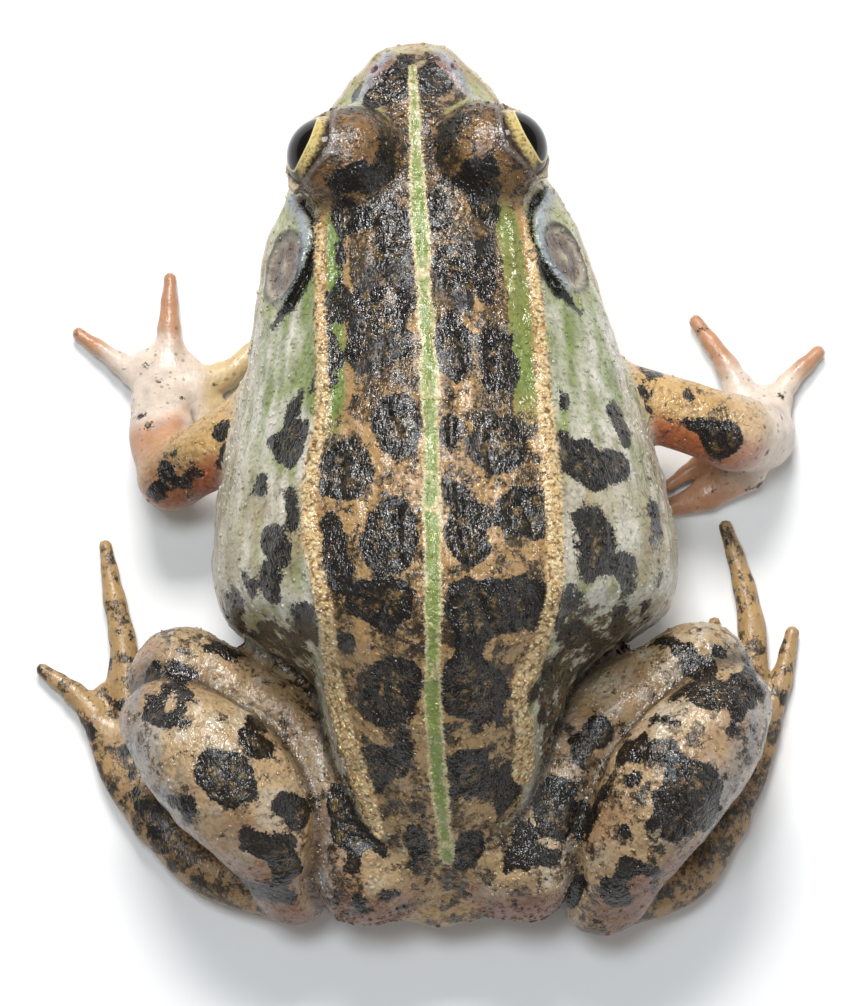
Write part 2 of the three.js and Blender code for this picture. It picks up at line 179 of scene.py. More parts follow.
def through(points: Array, t: Array) -> Array:
    """Places on a centripetal spline through points, with t from 0 at the first to 1 at the last."""
    ends = 2 * points[0] - points[1], 2 * points[-1] - points[-2]
    knots = np.vstack([ends[0], points, ends[1]])
    reach = t * (len(points) - 1)
    i = np.clip(np.floor(reach).astype(int), 0, len(points) - 2)
    w = (reach - i)[:, None]
    p0, p1, p2, p3 = (knots[i + n] for n in range(4))
    d0, d1, d2 = (
        np.maximum(np.linalg.norm(b - a, axis=1, keepdims=True), 1e-6) ** 0.5
        for a, b in ((p0, p1), (p1, p2), (p2, p3))
    )
    leave = ((p1 - p0) / d0 - (p2 - p0) / (d0 + d1) + (p2 - p1) / d1) * d1
    arrive = ((p2 - p1) / d1 - (p3 - p1) / (d1 + d2) + (p3 - p2) / d2) * d1
    rise = w * w * (3 - 2 * w)
    return p1 * (1 - rise) + p2 * rise + leave * w * (1 - w) ** 2 - arrive * w * w * (1 - w)


# ---- Solids as distances on a lattice ----


@dataclass
class Solid:
    """A body of clay: signed distances in mm, negative inside, on part of the lattice."""

    start: Array
    values: Array

    @classmethod
    def empty(cls, low: Array, high: Array) -> "Solid":
        """Room for clay between two corners in mm, with nothing in it."""
        start = np.floor(np.asarray(low) / VOXEL).astype(int)
        shape = np.ceil(np.asarray(high) / VOXEL).astype(int) - start + 1
        return cls(start, np.full(shape, BAND, np.float32))

    @classmethod
    def from_surface(cls, points: Array, triangles: Array) -> "Solid":
        """The clay inside a closed surface of corners in mm and triangles of corner numbers."""
        made = cls.empty(points.min(0) - BAND, points.max(0) + BAND)
        grid = vdb.FloatGrid.createLevelSetFromPolygons(
            points.astype(np.float32),
            triangles=triangles.astype(np.uint32),
            transform=vdb.createLinearTransform(voxelSize=VOXEL),
            halfWidth=BAND / VOXEL,
        )
        grid.copyToArray(made.values, ijk=tuple(int(i) for i in made.start))
        return made

    def axes(self, window: tuple | None = None) -> tuple[Array, Array, Array]:
        """X, Y and Z in mm of the lattice points, each along its own axis, for all or a window of them."""
        window = window or tuple(slice(0, n) for n in self.values.shape)
        return np.ix_(*(
            ((np.arange(part.start, part.stop) + start) * VOXEL).astype(np.float32)
            for part, start in zip(window, self.start)
        ))

    def window(self, low: Array, high: Array) -> tuple:
        """The slices of this solid's lattice between two corners in mm."""
        first = np.maximum(np.floor(np.asarray(low) / VOXEL).astype(int) - self.start, 0)
        last = np.minimum(np.ceil(np.asarray(high) / VOXEL).astype(int) - self.start + 1, self.values.shape)
        return tuple(slice(int(a), int(b)) for a, b in zip(first, last))

    def join(self, other: "Solid", weld: "Weld") -> None:
        """Adds what lies of another solid in this one's box, with the softness of a weld."""
        offset = other.start - self.start
        first = np.maximum(offset, 0)
        last = np.minimum(offset + other.values.shape, self.values.shape)
        here = tuple(slice(int(a), int(b)) for a, b in zip(first, last))
        there = tuple(slice(int(a), int(b)) for a, b in zip(first - offset, last - offset))
        softness = weld.softness(*self.axes(here))
        self.values[here] = blend_min(self.values[here], other.values[there], softness)

    def sample(self, points: Array) -> Array:
        """Distances at N x 3 places in mm, BAND where a place is outside the box."""
        place = points / VOXEL - self.start
        cell = np.floor(place).astype(int)
        inside = np.all((cell >= 0) & (cell < np.array(self.values.shape) - 1), axis=1)
        made = np.full(len(points), BAND)
        cell, part = cell[inside], (place - cell)[inside]
        total = np.zeros(len(cell))
        for corner in product((0, 1), repeat=3):
            share = np.prod(np.where(corner, part, 1 - part), axis=1)
            i, j, k = (cell + corner).T
            total += share * self.values[i, j, k]
        made[inside] = total
        return made


@dataclass(frozen=True)
class Weld:
    """How softly two solids run into each other: near a joint, and elsewhere, where they only touch."""

    point: tuple[float, float, float]
    near: float
    far: float
    reach: float

    def softness(self, x: Array, y: Array, z: Array) -> Array:
        """The blend's reach in mm at each place."""
        gap = (x - self.point[0]) ** 2 + (y - self.point[1]) ** 2 + (z - self.point[2]) ** 2
        return self.far + (self.near - self.far) * np.exp(-gap / self.reach**2)


def loft(rings: Array, start: Array, end: Array) -> tuple[Array, Array]:
    """A closed surface through rings of points.

    Args:
        rings: R x S x 3 points, ring by ring.
        start: The pole before the first ring.
        end: The pole after the last ring.

    Returns:
        Points and triangles.
    """
    count, sides = rings.shape[:2]
    points = np.vstack([rings.reshape(-1, 3), start, end])
    here = np.arange(sides)
    on = (here + 1) % sides
    faces = []
    for ring in range(count - 1):
        a, b = ring * sides, (ring + 1) * sides
        faces.append(np.stack([a + here, a + on, b + on], 1))
        faces.append(np.stack([a + here, b + on, b + here], 1))
    first, last = count * sides, count * sides + 1
    faces.append(np.stack([np.full(sides, first), on, here], 1))
    top = (count - 1) * sides
    faces.append(np.stack([np.full(sides, last), top + here, top + on], 1))
    return points, np.vstack(faces)


# ---- The body ----


@dataclass(frozen=True)
class BodyForm:
    """Head and trunk without their features: cross sections that follow five lines from snout to vent."""

    snout: float = -36.2
    vent: float = 35.4
    back_rounding: float = 2.05
    belly_rounding: float = 2.5
    rings: int = 220
    sides: int = 180
    half_width: tuple = (
        (-36.2, 0), (-35.9, 2.6), (-34.6, 4.1), (-31.8, 6.6), (-24.2, 10.7), (-20.0, 12.8), (-15.7, 13.9),
        (-7.2, 15.9), (1.1, 18.3), (6.5, 19.0), (10.2, 18.2), (12.6, 15.6), (14.6, 12.4), (16.6, 10.6), (21.0, 9.3),
        (25.5, 8.0), (31.3, 6.4), (35.4, 0),
    )
    crown: tuple = (
        (-36.2, 14.3), (-35.9, 15.6), (-34.3, 17.4), (-31.0, 19.2), (-25.7, 21.4), (-18.0, 23.6), (-8.0, 26.3),
        (2.0, 28.5), (8.5, 29.3), (14.0, 28.2), (18.0, 25.8), (24.0, 20.6), (30.0, 13.8), (33.6, 9.2), (35.4, 6.2),
    )
    belly: tuple = (
        (-36.2, 14.3), (-35.7, 12.3), (-34.0, 10.7), (-28.0, 8.3), (-20.0, 6.0), (-12.0, 3.7), (-4.0, 1.2),
        (2.0, -0.2), (7.0, -0.5), (23.0, -0.5), (28.0, 0.2), (32.0, 2.2), (35.4, 6.2),
    )
    waist: tuple = (
        (-36.2, 14.3), (-35.5, 13.8), (-28.0, 13.0), (-14.0, 11.4), (4.0, 10.4), (20.0, 9.4), (30.0, 7.6), (35.4, 6.2),
    )
    lean: tuple = ((-36.2, 0), (-28.0, 0), (-18.0, -0.3), (-3.0, -1.0), (9.0, -1.1), (24.0, 0), (35.4, 0))

    def turn(self, y: Array) -> Array:
        """How far along the body a place is, as an angle that opens quickly at the blunt ends."""
        share = (np.asarray(y, float) - self.snout) / (self.vent - self.snout)
        return np.arccos(np.clip(1 - 2 * share, -1, 1))

    def line(self, points: tuple, y: Array) -> Array:
        """A smooth line through [y, value] points that never swings past them, at any places along the body."""
        turns = self.turn(np.array([p[0] for p in points]))
        values = np.array([p[1] for p in points], float)
        slopes = np.diff(values) / np.diff(turns)
        before, after = slopes[:-1], slopes[1:]
        with np.errstate(divide="ignore", invalid="ignore"):
            inner = np.where(before * after <= 0, 0, 2 * before * after / (before + after))
        tangents = np.concatenate([slopes[:1], inner, slopes[-1:]])
        turn = self.turn(y)
        i = np.clip(np.searchsorted(turns, turn) - 1, 0, len(slopes) - 1)
        span = turns[i + 1] - turns[i]
        t = (turn - turns[i]) / span
        rise = t * t * (3 - 2 * t)
        bend = span * t * (1 - t) * ((1 - t) * tangents[i] - t * tangents[i + 1])
        return values[i] * (1 - rise) + values[i + 1] * rise + bend

    def solid(self) -> Solid:
        """The body as clay."""
        turns = np.linspace(0, math.pi, self.rings + 2)[1:-1]
        y = self.snout + (self.vent - self.snout) * (1 - np.cos(turns)) / 2
        around = np.linspace(0, 2 * math.pi, self.sides, endpoint=False)
        cos, sin = np.cos(around)[None], np.sin(around)[None]
        top = sin > 0
        power = np.where(top, 2 / self.back_rounding, 2 / self.belly_rounding)
        widths, crown, belly, waist, lean = (
            self.line(points, y)[:, None]
            for points in (self.half_width, self.crown, self.belly, self.waist, self.lean)
        )
        x = lean + widths * np.sign(cos) * np.abs(cos) ** power
        edge = np.where(top, crown, belly)
        z = waist + np.abs(sin) ** power * (edge - waist)
        rings = np.stack([x, np.broadcast_to(y[:, None], x.shape), z], -1)
        ends = (np.array([0, y_end, self.line(self.waist, y_end)]) for y_end in (self.snout, self.vent))
        return Solid.from_surface(*loft(rings, *ends))


# ---- The limbs ----


@dataclass(frozen=True)
class LimbForm:
    """A round-ended length of limb, bent smoothly through stations of [x, y, z, half width, half height]."""

    stations: tuple
    zone: Zone
    knuckles: tuple = ()
    rings: int = 40
    cap_rings: int = 8
    sides: int = 36
    knuckle_swell: float = 0.13
    knuckle_length: float = 0.06
    root_girth: float = 1.0
    tip_girth: float = 1.0

    def solid(self) -> Solid:
        """The limb as clay."""
        table = np.array(self.stations, float)
        cap = np.linspace(0, math.pi / 2, self.cap_rings + 1)[1:]
        inner = np.linspace(0, 1, self.rings)
        t = np.concatenate([np.zeros(len(cap)), inner, np.ones(len(cap))])
        lift = np.concatenate([-cap[::-1], np.zeros(self.rings), cap])
        place = through(table[:, :3], t)
        shape = 1 + (self.root_girth - 1) * ramp(t, 0.45, 0) + (self.tip_girth - 1) * ramp(t, 0.4, 1)
        girth = through(table[:, 3:], t) * shape[:, None]
        step = 1e-3
        ahead, behind = through(table[:, :3], np.minimum(t + step, 1)), through(table[:, :3], np.maximum(t - step, 0))
        forward = unit(ahead - behind)
        side = unit(np.cross(forward, UP))
        top = np.cross(side, forward)
        swell = 1 + sum(self.knuckle_swell * bell(t - knuckle, self.knuckle_length) for knuckle in self.knuckles)
        round_off = np.cos(lift) * swell
        along = np.sin(lift) * girth.mean(1)
        around = np.linspace(0, 2 * math.pi, self.sides, endpoint=False)
        rings = (
            place[:, None]
            + forward[:, None] * along[:, None, None]
            + side[:, None] * (np.cos(around) * (girth[:, 0] * round_off)[:, None])[..., None]
            + top[:, None] * (np.sin(around) * (girth[:, 1] * round_off)[:, None])[..., None]
        )
        start, end = rings[0].mean(0), rings[-1].mean(0)
        return Solid.from_surface(*loft(rings[1:-1], start, end))


@dataclass
class Limb:
    """A whole arm or leg: its lengths in order from the body, and its digits."""

    side: Side
    lengths: list[LimbForm]
    digits: list[LimbForm]
    joint_softness: float
    crease: float
    digit_softness: float = 0.7
    webbed: bool = False
    web_reach: float = 0.47
    web_fullness: float = 0.6
    web_thickness: float = 0.7
    zones: dict[Zone, list[Solid]] = field(default_factory=dict)

    @classmethod
    def arm(cls, side: Side, upper: tuple, beyond: tuple, fingers: list[LimbForm]) -> "Limb":
        """An arm: its upper arm, the lengths beyond the elbow, and its fingers."""
        lengths = [LimbForm(upper, Zone.ARM), *(LimbForm(stations, Zone.HAND) for stations in beyond)]
        return cls(side, lengths, fingers, joint_softness=1.8, crease=0.5)

    @classmethod
    def leg(cls, side: Side, thigh: tuple, shank: tuple, beyond: tuple, toes: list[LimbForm]) -> "Limb":
        """A leg: its thigh and shank, the lengths beyond the ankle, and its webbed toes."""
        lengths = [LimbForm(thigh, Zone.THIGH), LimbForm(shank, Zone.SHANK)]
        lengths += [LimbForm(stations, Zone.FOOT) for stations in beyond]
        return cls(side, lengths, toes, joint_softness=1.6, crease=0.25, webbed=True)

    def solid(self) -> Solid:
        """The limb as clay, with all its lengths run together at their joints and creased elsewhere."""
        stations = np.array([s for form in self.lengths + self.digits for s in form.stations])
        reach = BAND + stations[:, 3].max()
        whole = Solid.empty(stations[:, :3].min(0) - reach, stations[:, :3].max(0) + reach)
        welds = [
            Weld(form.stations[0][:3], self.joint_softness, self.crease, 0.8 * max(form.stations[0][3:]) + 0.4)
            for form in self.lengths
        ] + [Weld(form.stations[0][:3], self.digit_softness, 0.3, 3.0) for form in self.digits]
        for form, weld in zip(self.lengths + self.digits, welds):
            made = form.solid()
            self.zones.setdefault(form.zone, []).append(made)
            whole.join(made, weld)
        if self.webbed:
            web = self._web()
            self.zones[Zone.FOOT].append(web)
            whole.join(web, Weld(self.digits[2].stations[0][:3], 0.5, 0.5, 9.0))
        return whole

    def _web(self) -> Solid:
        """The web: a thin sheet that hangs between neighbouring toes and ends in hollow curves."""
        paths = [np.array(toe.stations, float)[:, :3] for toe in self.digits]
        corners = np.vstack(paths)
        solid = Solid.empty(corners.min(0) - BAND, corners.max(0) + BAND)
        across = np.linspace(0, 1, 9)
        hollow = 1 - (1 - self.web_fullness) * 4 * across * (1 - across)
        reaches = np.linspace(0, self.web_reach, 15)[:, None] * hollow
        half = UP * self.web_thickness / 2
        for pair in zip(paths[:-1], paths[1:]):
            first, second = (np.stack([through(path, column) for column in reaches.T], 1) for path in pair)
            middle = mix(first, second, np.broadcast_to(across, reaches.shape))
            ring = np.concatenate([middle + 0.9 * half, (middle - half)[:, ::-1]], 1)
            made = Solid.from_surface(*loft(ring, ring[0].mean(0), ring[-1].mean(0)))
            solid.join(made, Weld((0, 0, 0), 0.4, 0.4, 1.0))
        return solid


KNUCKLES = {
    Zone.HAND: ((0.5,), (0.45, 0.75), (0.25, 0.5, 0.78), (0.25, 0.5, 0.78)),
    Zone.FOOT: ((0.6,), (0.5, 0.8), (0.3, 0.6, 0.82), (0.2, 0.4, 0.62, 0.82), (0.3, 0.6, 0.82)),
}


def digits(zone: Zone, *lines: tuple) -> list[LimbForm]:
    """Fingers or toes from the innermost out, each through its stations, with their knuckles."""
    return [
        LimbForm(stations, zone, knuckles, rings=30, cap_rings=6, sides=20, root_girth=1.2, tip_girth=0.7)
        for stations, knuckles in zip(lines, KNUCKLES[zone])
    ]


def left_arm() -> Limb:
    """The left arm, elbow out and hand turned towards the snout."""
    upper = ((9.5, -8.2, 10.0, 3.6, 3.6), (15.8, -5.0, 8.6, 3.1, 3.1), (21.2, -2.5, 6.2, 2.6, 2.7))
    fore = ((21.2, -2.6, 6.1, 2.6, 2.6), (21.9, -6.2, 4.3, 2.8, 2.4), (22.2, -9.4, 2.6, 2.2, 1.8))
    hand = ((22.2, -9.4, 2.5, 2.2, 1.8), (21.6, -12.6, 1.3, 3.1, 1.3))
    palm = ((22.0, -9.6, 2.0, 2.3, 1.6), (18.6, -9.0, 1.3, 2.2, 1.1))
    fingers = digits(
        Zone.HAND,
        ((19.9, -10.4, 1.3, 1.1, 1.0), (15.2, -7.8, 0.75, 0.85, 0.85)),
        ((19.4, -11.0, 1.4, 1.5, 1.2), (16.4, -12.1, 1.2, 1.15, 1.05), (12.6, -15.7, 0.8, 0.85, 0.85)),
        ((21.4, -13.0, 1.2, 1.3, 1.1), (21.3, -16.2, 1.0, 0.95, 0.95), (21.1, -20.4, 0.75, 0.8, 0.8)),
        ((23.6, -11.8, 1.2, 1.1, 1.0), (25.6, -13.4, 1.0, 0.9, 0.9), (28.9, -16.0, 0.75, 0.8, 0.8)),
    )
    return Limb.arm(Side.LEFT, upper, (fore, hand, palm), fingers)


def right_arm() -> Limb:
    """The right arm, elbow far out and the hand under it."""
    upper = ((-10.0, -8.6, 10.0, 3.6, 3.6), (-18.6, -6.4, 9.1, 2.9, 2.9), (-25.0, -4.2, 8.2, 3.0, 3.0))
    fore = ((-25.2, -4.2, 7.8, 3.0, 3.0), (-26.6, -4.5, 5.4, 3.1, 3.1), (-27.5, -4.7, 3.0, 2.9, 2.9))
    hand = ((-27.5, -4.7, 2.6, 2.8, 1.9), (-27.3, -7.4, 1.4, 3.0, 1.4))
    fingers = digits(
        Zone.HAND,
        ((-25.9, -2.5, 1.7, 2.0, 1.6), (-22.8, -0.3, 1.2, 1.35, 1.1), (-18.6, 1.0, 0.85, 0.9, 0.9)),
        ((-25.2, -5.0, 1.4, 1.1, 1.0), (-22.6, -3.0, 1.0, 0.85, 0.85), (-19.8, -1.2, 0.75, 0.75, 0.75)),
        ((-26.6, -8.0, 1.3, 1.3, 1.1), (-25.2, -11.2, 1.0, 0.95, 0.95), (-22.8, -15.1, 0.75, 0.85, 0.85)),
        ((-28.8, -7.4, 1.3, 1.2, 1.0), (-30.3, -9.6, 1.0, 0.9, 0.9), (-32.9, -12.1, 0.75, 0.85, 0.85)),
    )
    return Limb.arm(Side.RIGHT, upper, (fore, hand), fingers)


def left_leg() -> Limb:
    """The left leg, folded against the flank."""
    thigh = (
        (6.2, 29.4, 8.0, 6.0, 5.6), (10.6, 22.8, 8.6, 5.4, 4.9),
        (15.4, 17.9, 8.4, 5.2, 4.6), (20.6, 15.2, 8.9, 4.9, 4.5),
    )
    shank = (
        (21.4, 18.1, 10.6, 4.5, 4.3), (19.4, 20.8, 12.0, 5.1, 4.7), (16.7, 23.5, 12.2, 5.5, 4.8),
        (13.4, 27.5, 10.2, 5.0, 4.4), (12.0, 31.0, 6.6, 3.9, 3.8),
    )
    tarsus = ((12.5, 31.7, 3.8, 2.7, 2.6), (19.2, 29.5, 2.7, 2.3, 2.0), (23.3, 25.1, 2.1, 2.2, 1.6))
    foot = ((23.3, 25.1, 2.1, 2.2, 1.6), (25.4, 20.8, 1.4, 2.7, 1.2), (26.0, 17.6, 1.0, 3.0, 0.9))
    toes = digits(
        Zone.FOOT,
        ((23.4, 21.0, 1.0, 0.9, 0.9), (18.7, 18.0, 0.7, 0.7, 0.7)),
        ((23.9, 19.4, 1.0, 1.0, 0.9), (21.4, 16.2, 0.9, 0.85, 0.85), (19.8, 13.6, 0.7, 0.75, 0.75)),
        ((24.6, 18.2, 1.0, 1.1, 1.0), (23.4, 14.0, 0.9, 0.9, 0.9), (22.6, 10.0, 0.75, 0.8, 0.8)),
        (
            (25.6, 17.4, 1.1, 1.2, 1.0), (25.8, 10.8, 1.0, 1.05, 1.0),
            (26.6, 5.9, 0.9, 0.95, 0.9), (27.1, 2.1, 0.75, 0.8, 0.8),
        ),
        ((27.2, 18.2, 1.1, 1.2, 1.0), (29.5, 14.9, 0.9, 1.0, 0.95), (32.6, 12.3, 0.75, 0.8, 0.8)),
    )
    return Limb.leg(Side.LEFT, thigh, shank, (tarsus, foot), toes)


def right_leg() -> Limb:
    """The right leg, folded against the flank."""
    thigh = (
        (-6.4, 29.4, 8.0, 6.2, 5.6), (-11.2, 23.6, 8.6, 5.4, 4.9),
        (-16.2, 19.1, 8.4, 5.3, 4.6), (-21.5, 16.4, 8.9, 5.0, 4.6),
    )
    shank = (
        (-22.8, 18.6, 10.6, 4.5, 4.3), (-21.1, 21.6, 12.0, 5.0, 4.7), (-18.0, 25.3, 12.2, 5.3, 4.8),
        (-14.9, 29.2, 10.4, 4.8, 4.4), (-12.8, 32.7, 6.6, 4.0, 3.8),
    )
    tarsus = ((-13.4, 33.3, 3.8, 2.7, 2.6), (-19.7, 31.5, 2.7, 2.3, 2.0), (-23.0, 26.8, 2.1, 2.2, 1.6))
    foot = ((-23.0, 26.8, 2.1, 2.2, 1.6), (-24.6, 22.2, 1.4, 2.7, 1.2), (-25.4, 18.8, 1.0, 3.0, 0.9))
    toes = digits(
        Zone.FOOT,
        ((-22.8, 22.2, 1.0, 0.9, 0.9), (-19.2, 19.4, 0.7, 0.7, 0.7)),
        ((-23.4, 20.6, 1.0, 1.0, 0.9), (-21.8, 17.2, 0.9, 0.85, 0.85), (-20.8, 14.6, 0.7, 0.75, 0.75)),
        ((-24.3, 19.4, 1.0, 1.1, 1.0), (-23.7, 14.8, 0.9, 0.9, 0.9), (-23.2, 10.5, 0.75, 0.8, 0.8)),
        (
            (-25.4, 18.6, 1.1, 1.2, 1.0), (-26.3, 12.1, 1.0, 1.1, 1.0),
            (-25.6, 6.6, 0.9, 0.95, 0.9), (-24.5, 2.4, 0.75, 0.85, 0.85),
        ),
        ((-26.5, 19.2, 1.1, 1.2, 1.0), (-28.3, 16.0, 0.9, 1.0, 0.95), (-29.6, 11.5, 0.75, 0.85, 0.85)),
    )
    return Limb.leg(Side.RIGHT, thigh, shank, (tarsus, foot), toes)


# ---- The head's features ----


@dataclass(frozen=True)
class EyeFrame:
    """Where an eye sits, and the directions that its lids and iris are laid out in."""

    side: Side
    centre_out: float = 7.1
    centre_y: float = -25.6
    centre_z: float = 20.3
    radius: float = 3.4
    gaze: tuple = (0.769, -0.358, 0.530)

    @property
    def centre(self) -> Array:
        """The middle of the eyeball, mm."""
        return np.array([self.side.value * self.centre_out, self.centre_y, self.centre_z])

    @property
    def axes(self) -> tuple[Array, Array, Array]:
        """Unit vectors along the gaze, towards the front corner, and up."""
        sign = self.side.value
        gaze = unit(np.array([sign * self.gaze[0], self.gaze[1], self.gaze[2]]))
        front = unit(sign * np.cross(gaze, UP))
        lift = sign * np.cross(front, gaze)
        return gaze, front, lift

    def angles(self, x: Array, y: Array, z: Array) -> tuple[Array, Array, Array]:
        """Places as seen from the middle of the eye.

        Args:
            x, y, z: Coordinates in mm, in any shapes that broadcast together.

        Returns:
            Distance from the middle in mm, and angles in degrees to the front and up from the gaze.
        """
        dx, dy, dz = x - self.centre[0], y - self.centre[1], z - self.centre[2]
        along, front, lift = (dx * a[0] + dy * a[1] + dz * a[2] for a in self.axes)
        away = np.sqrt(dx * dx + dy * dy + dz * dz)
        return away, np.degrees(np.arctan2(front, along)), np.degrees(np.arctan2(lift, along))


def eye_distance(points: Array) -> Array:
    """How far places are from the middle of the nearer eyeball, mm."""
    return np.minimum(*(np.linalg.norm(points - EyeFrame(side).centre, axis=1) for side in Side))


@dataclass(frozen=True)
class Head:
    """Eyelids, nostrils, mouth, eardrums and folds of the head, worked into the clay."""

    lid_centre: tuple = (5.1, -25.5, 20.0)
    lid_radii: tuple = (3.5, 4.5, 4.2)
    lid_skin: float = 0.36
    opening_front: float = 62.0
    opening_up: float = 51.0
    opening_down: float = 55.0
    opening_rounding: float = 2.2
    nostril: tuple = (3.05, -33.35, 17.35)
    nostril_radii: tuple = (0.34, 0.5, 0.8)
    mouth_front: float = 13.3
    mouth_back: float = 11.6
    mouth_end: float = -14.8
    eardrum: tuple = (11.25, -17.15, 18.1)
    eardrum_lean: float = -0.3
    eardrum_radius: float = 2.9
    eardrum_rise: float = 34.0
    eardrum_turn: float = 14.0
    brow: tuple = ((5.7, -29.2, 19.6), (4.5, -31.2, 18.8), (3.4, -33.0, 18.0), (2.2, -34.8, 16.9))
    ear_fold: tuple = (
        (10.6, -23.2), (9.9, -21.6), (9.5, -20.2), (9.5, -18.6), (10.1, -16.5), (11.4, -14.3), (12.2, -13.5),
    )
    ear_crease: tuple = (
        (9.6, -22.6), (9.0, -21.4), (8.6, -20.2), (8.6, -18.4), (9.3, -16.0), (10.8, -13.7), (12.4, -12.3),
    )
    ear_lowest: float = 16.0
    jaw_gland: tuple = ((11.8, -19.0, 12.6), (13.2, -15.2, 12.2), (14.2, -11.6, 11.6))

    def mouth_height(self, y: Array) -> Array:
        """Height of the mouth slit, mm."""
        share = (y + 36.2) / (36.2 + self.mouth_end)
        return self.mouth_front + (self.mouth_back - self.mouth_front) * share

    def eardrum_frame(self, side: Side) -> tuple[Array, Array]:
        """The middle of an eardrum and the direction it faces."""
        rise, turn = math.radians(self.eardrum_rise), math.radians(self.eardrum_turn)
        centre = np.array([side.value * self.eardrum[0] + self.eardrum_lean, self.eardrum[1], self.eardrum[2]])
        out = np.array([side.value * math.cos(rise) * math.cos(turn), -math.cos(rise) * math.sin(turn), math.sin(rise)])
        return centre, out

    def shape(self, clay: Solid) -> None:
        """Works every feature of the head into the clay."""
        window = clay.window((-17, -38, 4), (17, -8, 27))
        x, y, z = clay.axes(window)
        values = clay.values[window].copy()
        for side in Side:
            values = self._eyelid(values, x, y, z, side)
        values = self._snout(values, x, y, z)
        values = self._mouth(values, y, z)
        for side in Side:
            values = self._eardrum(values, x, y, z, side)
            values = self._openings(values, x, y, z, side)
        clay.values[window] = values

    def _eyelid(self, values: Array, x: Array, y: Array, z: Array, side: Side) -> Array:
        """The dome of the upper lid and the skin round the eyeball."""
        cx, cy, cz = side.value * self.lid_centre[0], self.lid_centre[1], self.lid_centre[2]
        rx, ry, rz = self.lid_radii
        scaled = np.sqrt(((x - cx) / rx) ** 2 + ((y - cy) / ry) ** 2 + ((z - cz) / rz) ** 2)
        slope = np.sqrt(((x - cx) / rx**2) ** 2 + ((y - cy) / ry**2) ** 2 + ((z - cz) / rz**2) ** 2)
        dome = scaled * (scaled - 1) / np.maximum(slope, 1e-3)
        values = blend_min(values, dome, 1.3)
        eye = EyeFrame(side)
        away, _, _ = eye.angles(x, y, z)
        return blend_min(values, away - eye.radius - self.lid_skin, 0.9)

    def _openings(self, values: Array, x: Array, y: Array, z: Array, side: Side) -> Array:
        """The opening between the lids, with a crease under the lower one, and the nostril."""
        eye = EyeFrame(side)
        away, front, lift = eye.angles(x, y, z)
        limit = np.where(lift > 0, self.opening_up, self.opening_down)
        n = self.opening_rounding
        gauge = (np.abs(front / self.opening_front) ** n + np.abs(lift / limit) ** n) ** (1 / n)
        gap = (gauge - 1) * math.radians(self.opening_up) * away
        crease = 0.3 * bell(gap - 1.5, 0.35) * bell(away - eye.radius, 1.5) * (lift < 0)
        rim = 0.12 * bell(gap - 0.35, 0.3) * bell(away - eye.radius, 1.2)
        values = values + crease - rim
        hollow = blend_max(gap, eye.radius - 0.7 - away, 0.1)
        values = blend_max(values, -hollow, 0.25)
        px, py, pz = side.value * self.nostril[0], self.nostril[1], self.nostril[2]
        out = unit(np.array([side.value * 0.62, -0.35, 0.7]))
        front_axis = unit(np.cross(out, np.array([1.0, 0.2 * side.value, 0.0])))
        side_axis = np.cross(out, front_axis)
        dx, dy, dz = x - px, y - py, z - pz
        a, b, c = (dx * v[0] + dy * v[1] + dz * v[2] for v in (side_axis, front_axis, out))
        mound = 0.3 * np.exp(-((a * a + b * b + c * c) / 1.1**2))
        values = values - mound
        ra, rb, rc = self.nostril_radii
        bore = (np.sqrt((a / ra) ** 2 + (b / rb) ** 2 + (c / rc) ** 2) - 1) * ra
        return blend_max(values, -bore, 0.2)

    def _snout(self, values: Array, x: Array, y: Array, z: Array) -> Array:
        """The edges from eye to nostril, the hollows below them and the dip between the eyes."""
        for side in Side:
            values = values - 0.42 * bell(self.brow_distance(x, y, z, side), 0.9)
            hollow = (x - side.value * 6.6) ** 2 + (y + 31.2) ** 2 + (z - 15.9) ** 2
            values = values + 0.35 * np.exp(-hollow / 1.9**2)
        dip = (x / 2.2) ** 2 + ((y + 25.5) / 5.0) ** 2 + ((z - 21.4) / 3.0) ** 2
        return values + 0.4 * np.exp(-dip)

    def _mouth(self, values: Array, y: Array, z: Array) -> Array:
        """The slit of the mouth, the lip above it and the jaw set in below it."""
        over = z - self.mouth_height(y)
        reach = ramp(y, self.mouth_end + 1.5, self.mouth_end - 1.5)
        slit = 0.42 * bell(over, 0.26) * reach
        lip = 0.16 * bell(over - 0.9, 0.55) * reach
        jaw = 0.28 * ramp(over, 0.1, -0.4) * ramp(over, -4.5, -1.0) * ramp(y, self.mouth_end + 3, self.mouth_end - 6)
        return values + slit - lip + jaw

    def _eardrum(self, values: Array, x: Array, y: Array, z: Array, side: Side) -> Array:
        """A thin taut disc in a raised rim, with the fold of skin over it and the gland below."""
        centre, out = self.eardrum_frame(side)
        dx, dy, dz = x - centre[0], y - centre[1], z - centre[2]
        level = dx * out[0] + dy * out[1] + dz * out[2]
        spread = np.sqrt(np.maximum(dx * dx + dy * dy + dz * dz - level * level, 0))
        near = bell(level, 2.2)
        disc = level + 0.16 - 0.14 * bell(spread, 0.55) + 0.12 * bell(spread - 1.7, 0.7)
        share = ramp(spread, self.eardrum_radius + 0.4, self.eardrum_radius - 0.35) * near
        values = values * (1 - share) + disc * share
        values = values - 0.26 * bell(spread - self.eardrum_radius, 0.36) * near
        fold, along = self.over_ear(x, y, z, self.ear_fold, side)
        values = values - 0.45 * bell(fold, 0.55) * ramp(along, 1.0, 0.75)
        crease, along = self.over_ear(x, y, z, self.ear_crease, side)
        values = values + 0.5 * bell(crease, 0.34) * ramp(along, 1.0, 0.85)
        gland, _ = path_distance(x, y, z, self.mirrored(self.jaw_gland, side))
        return values - 0.4 * bell(gland, 0.75)

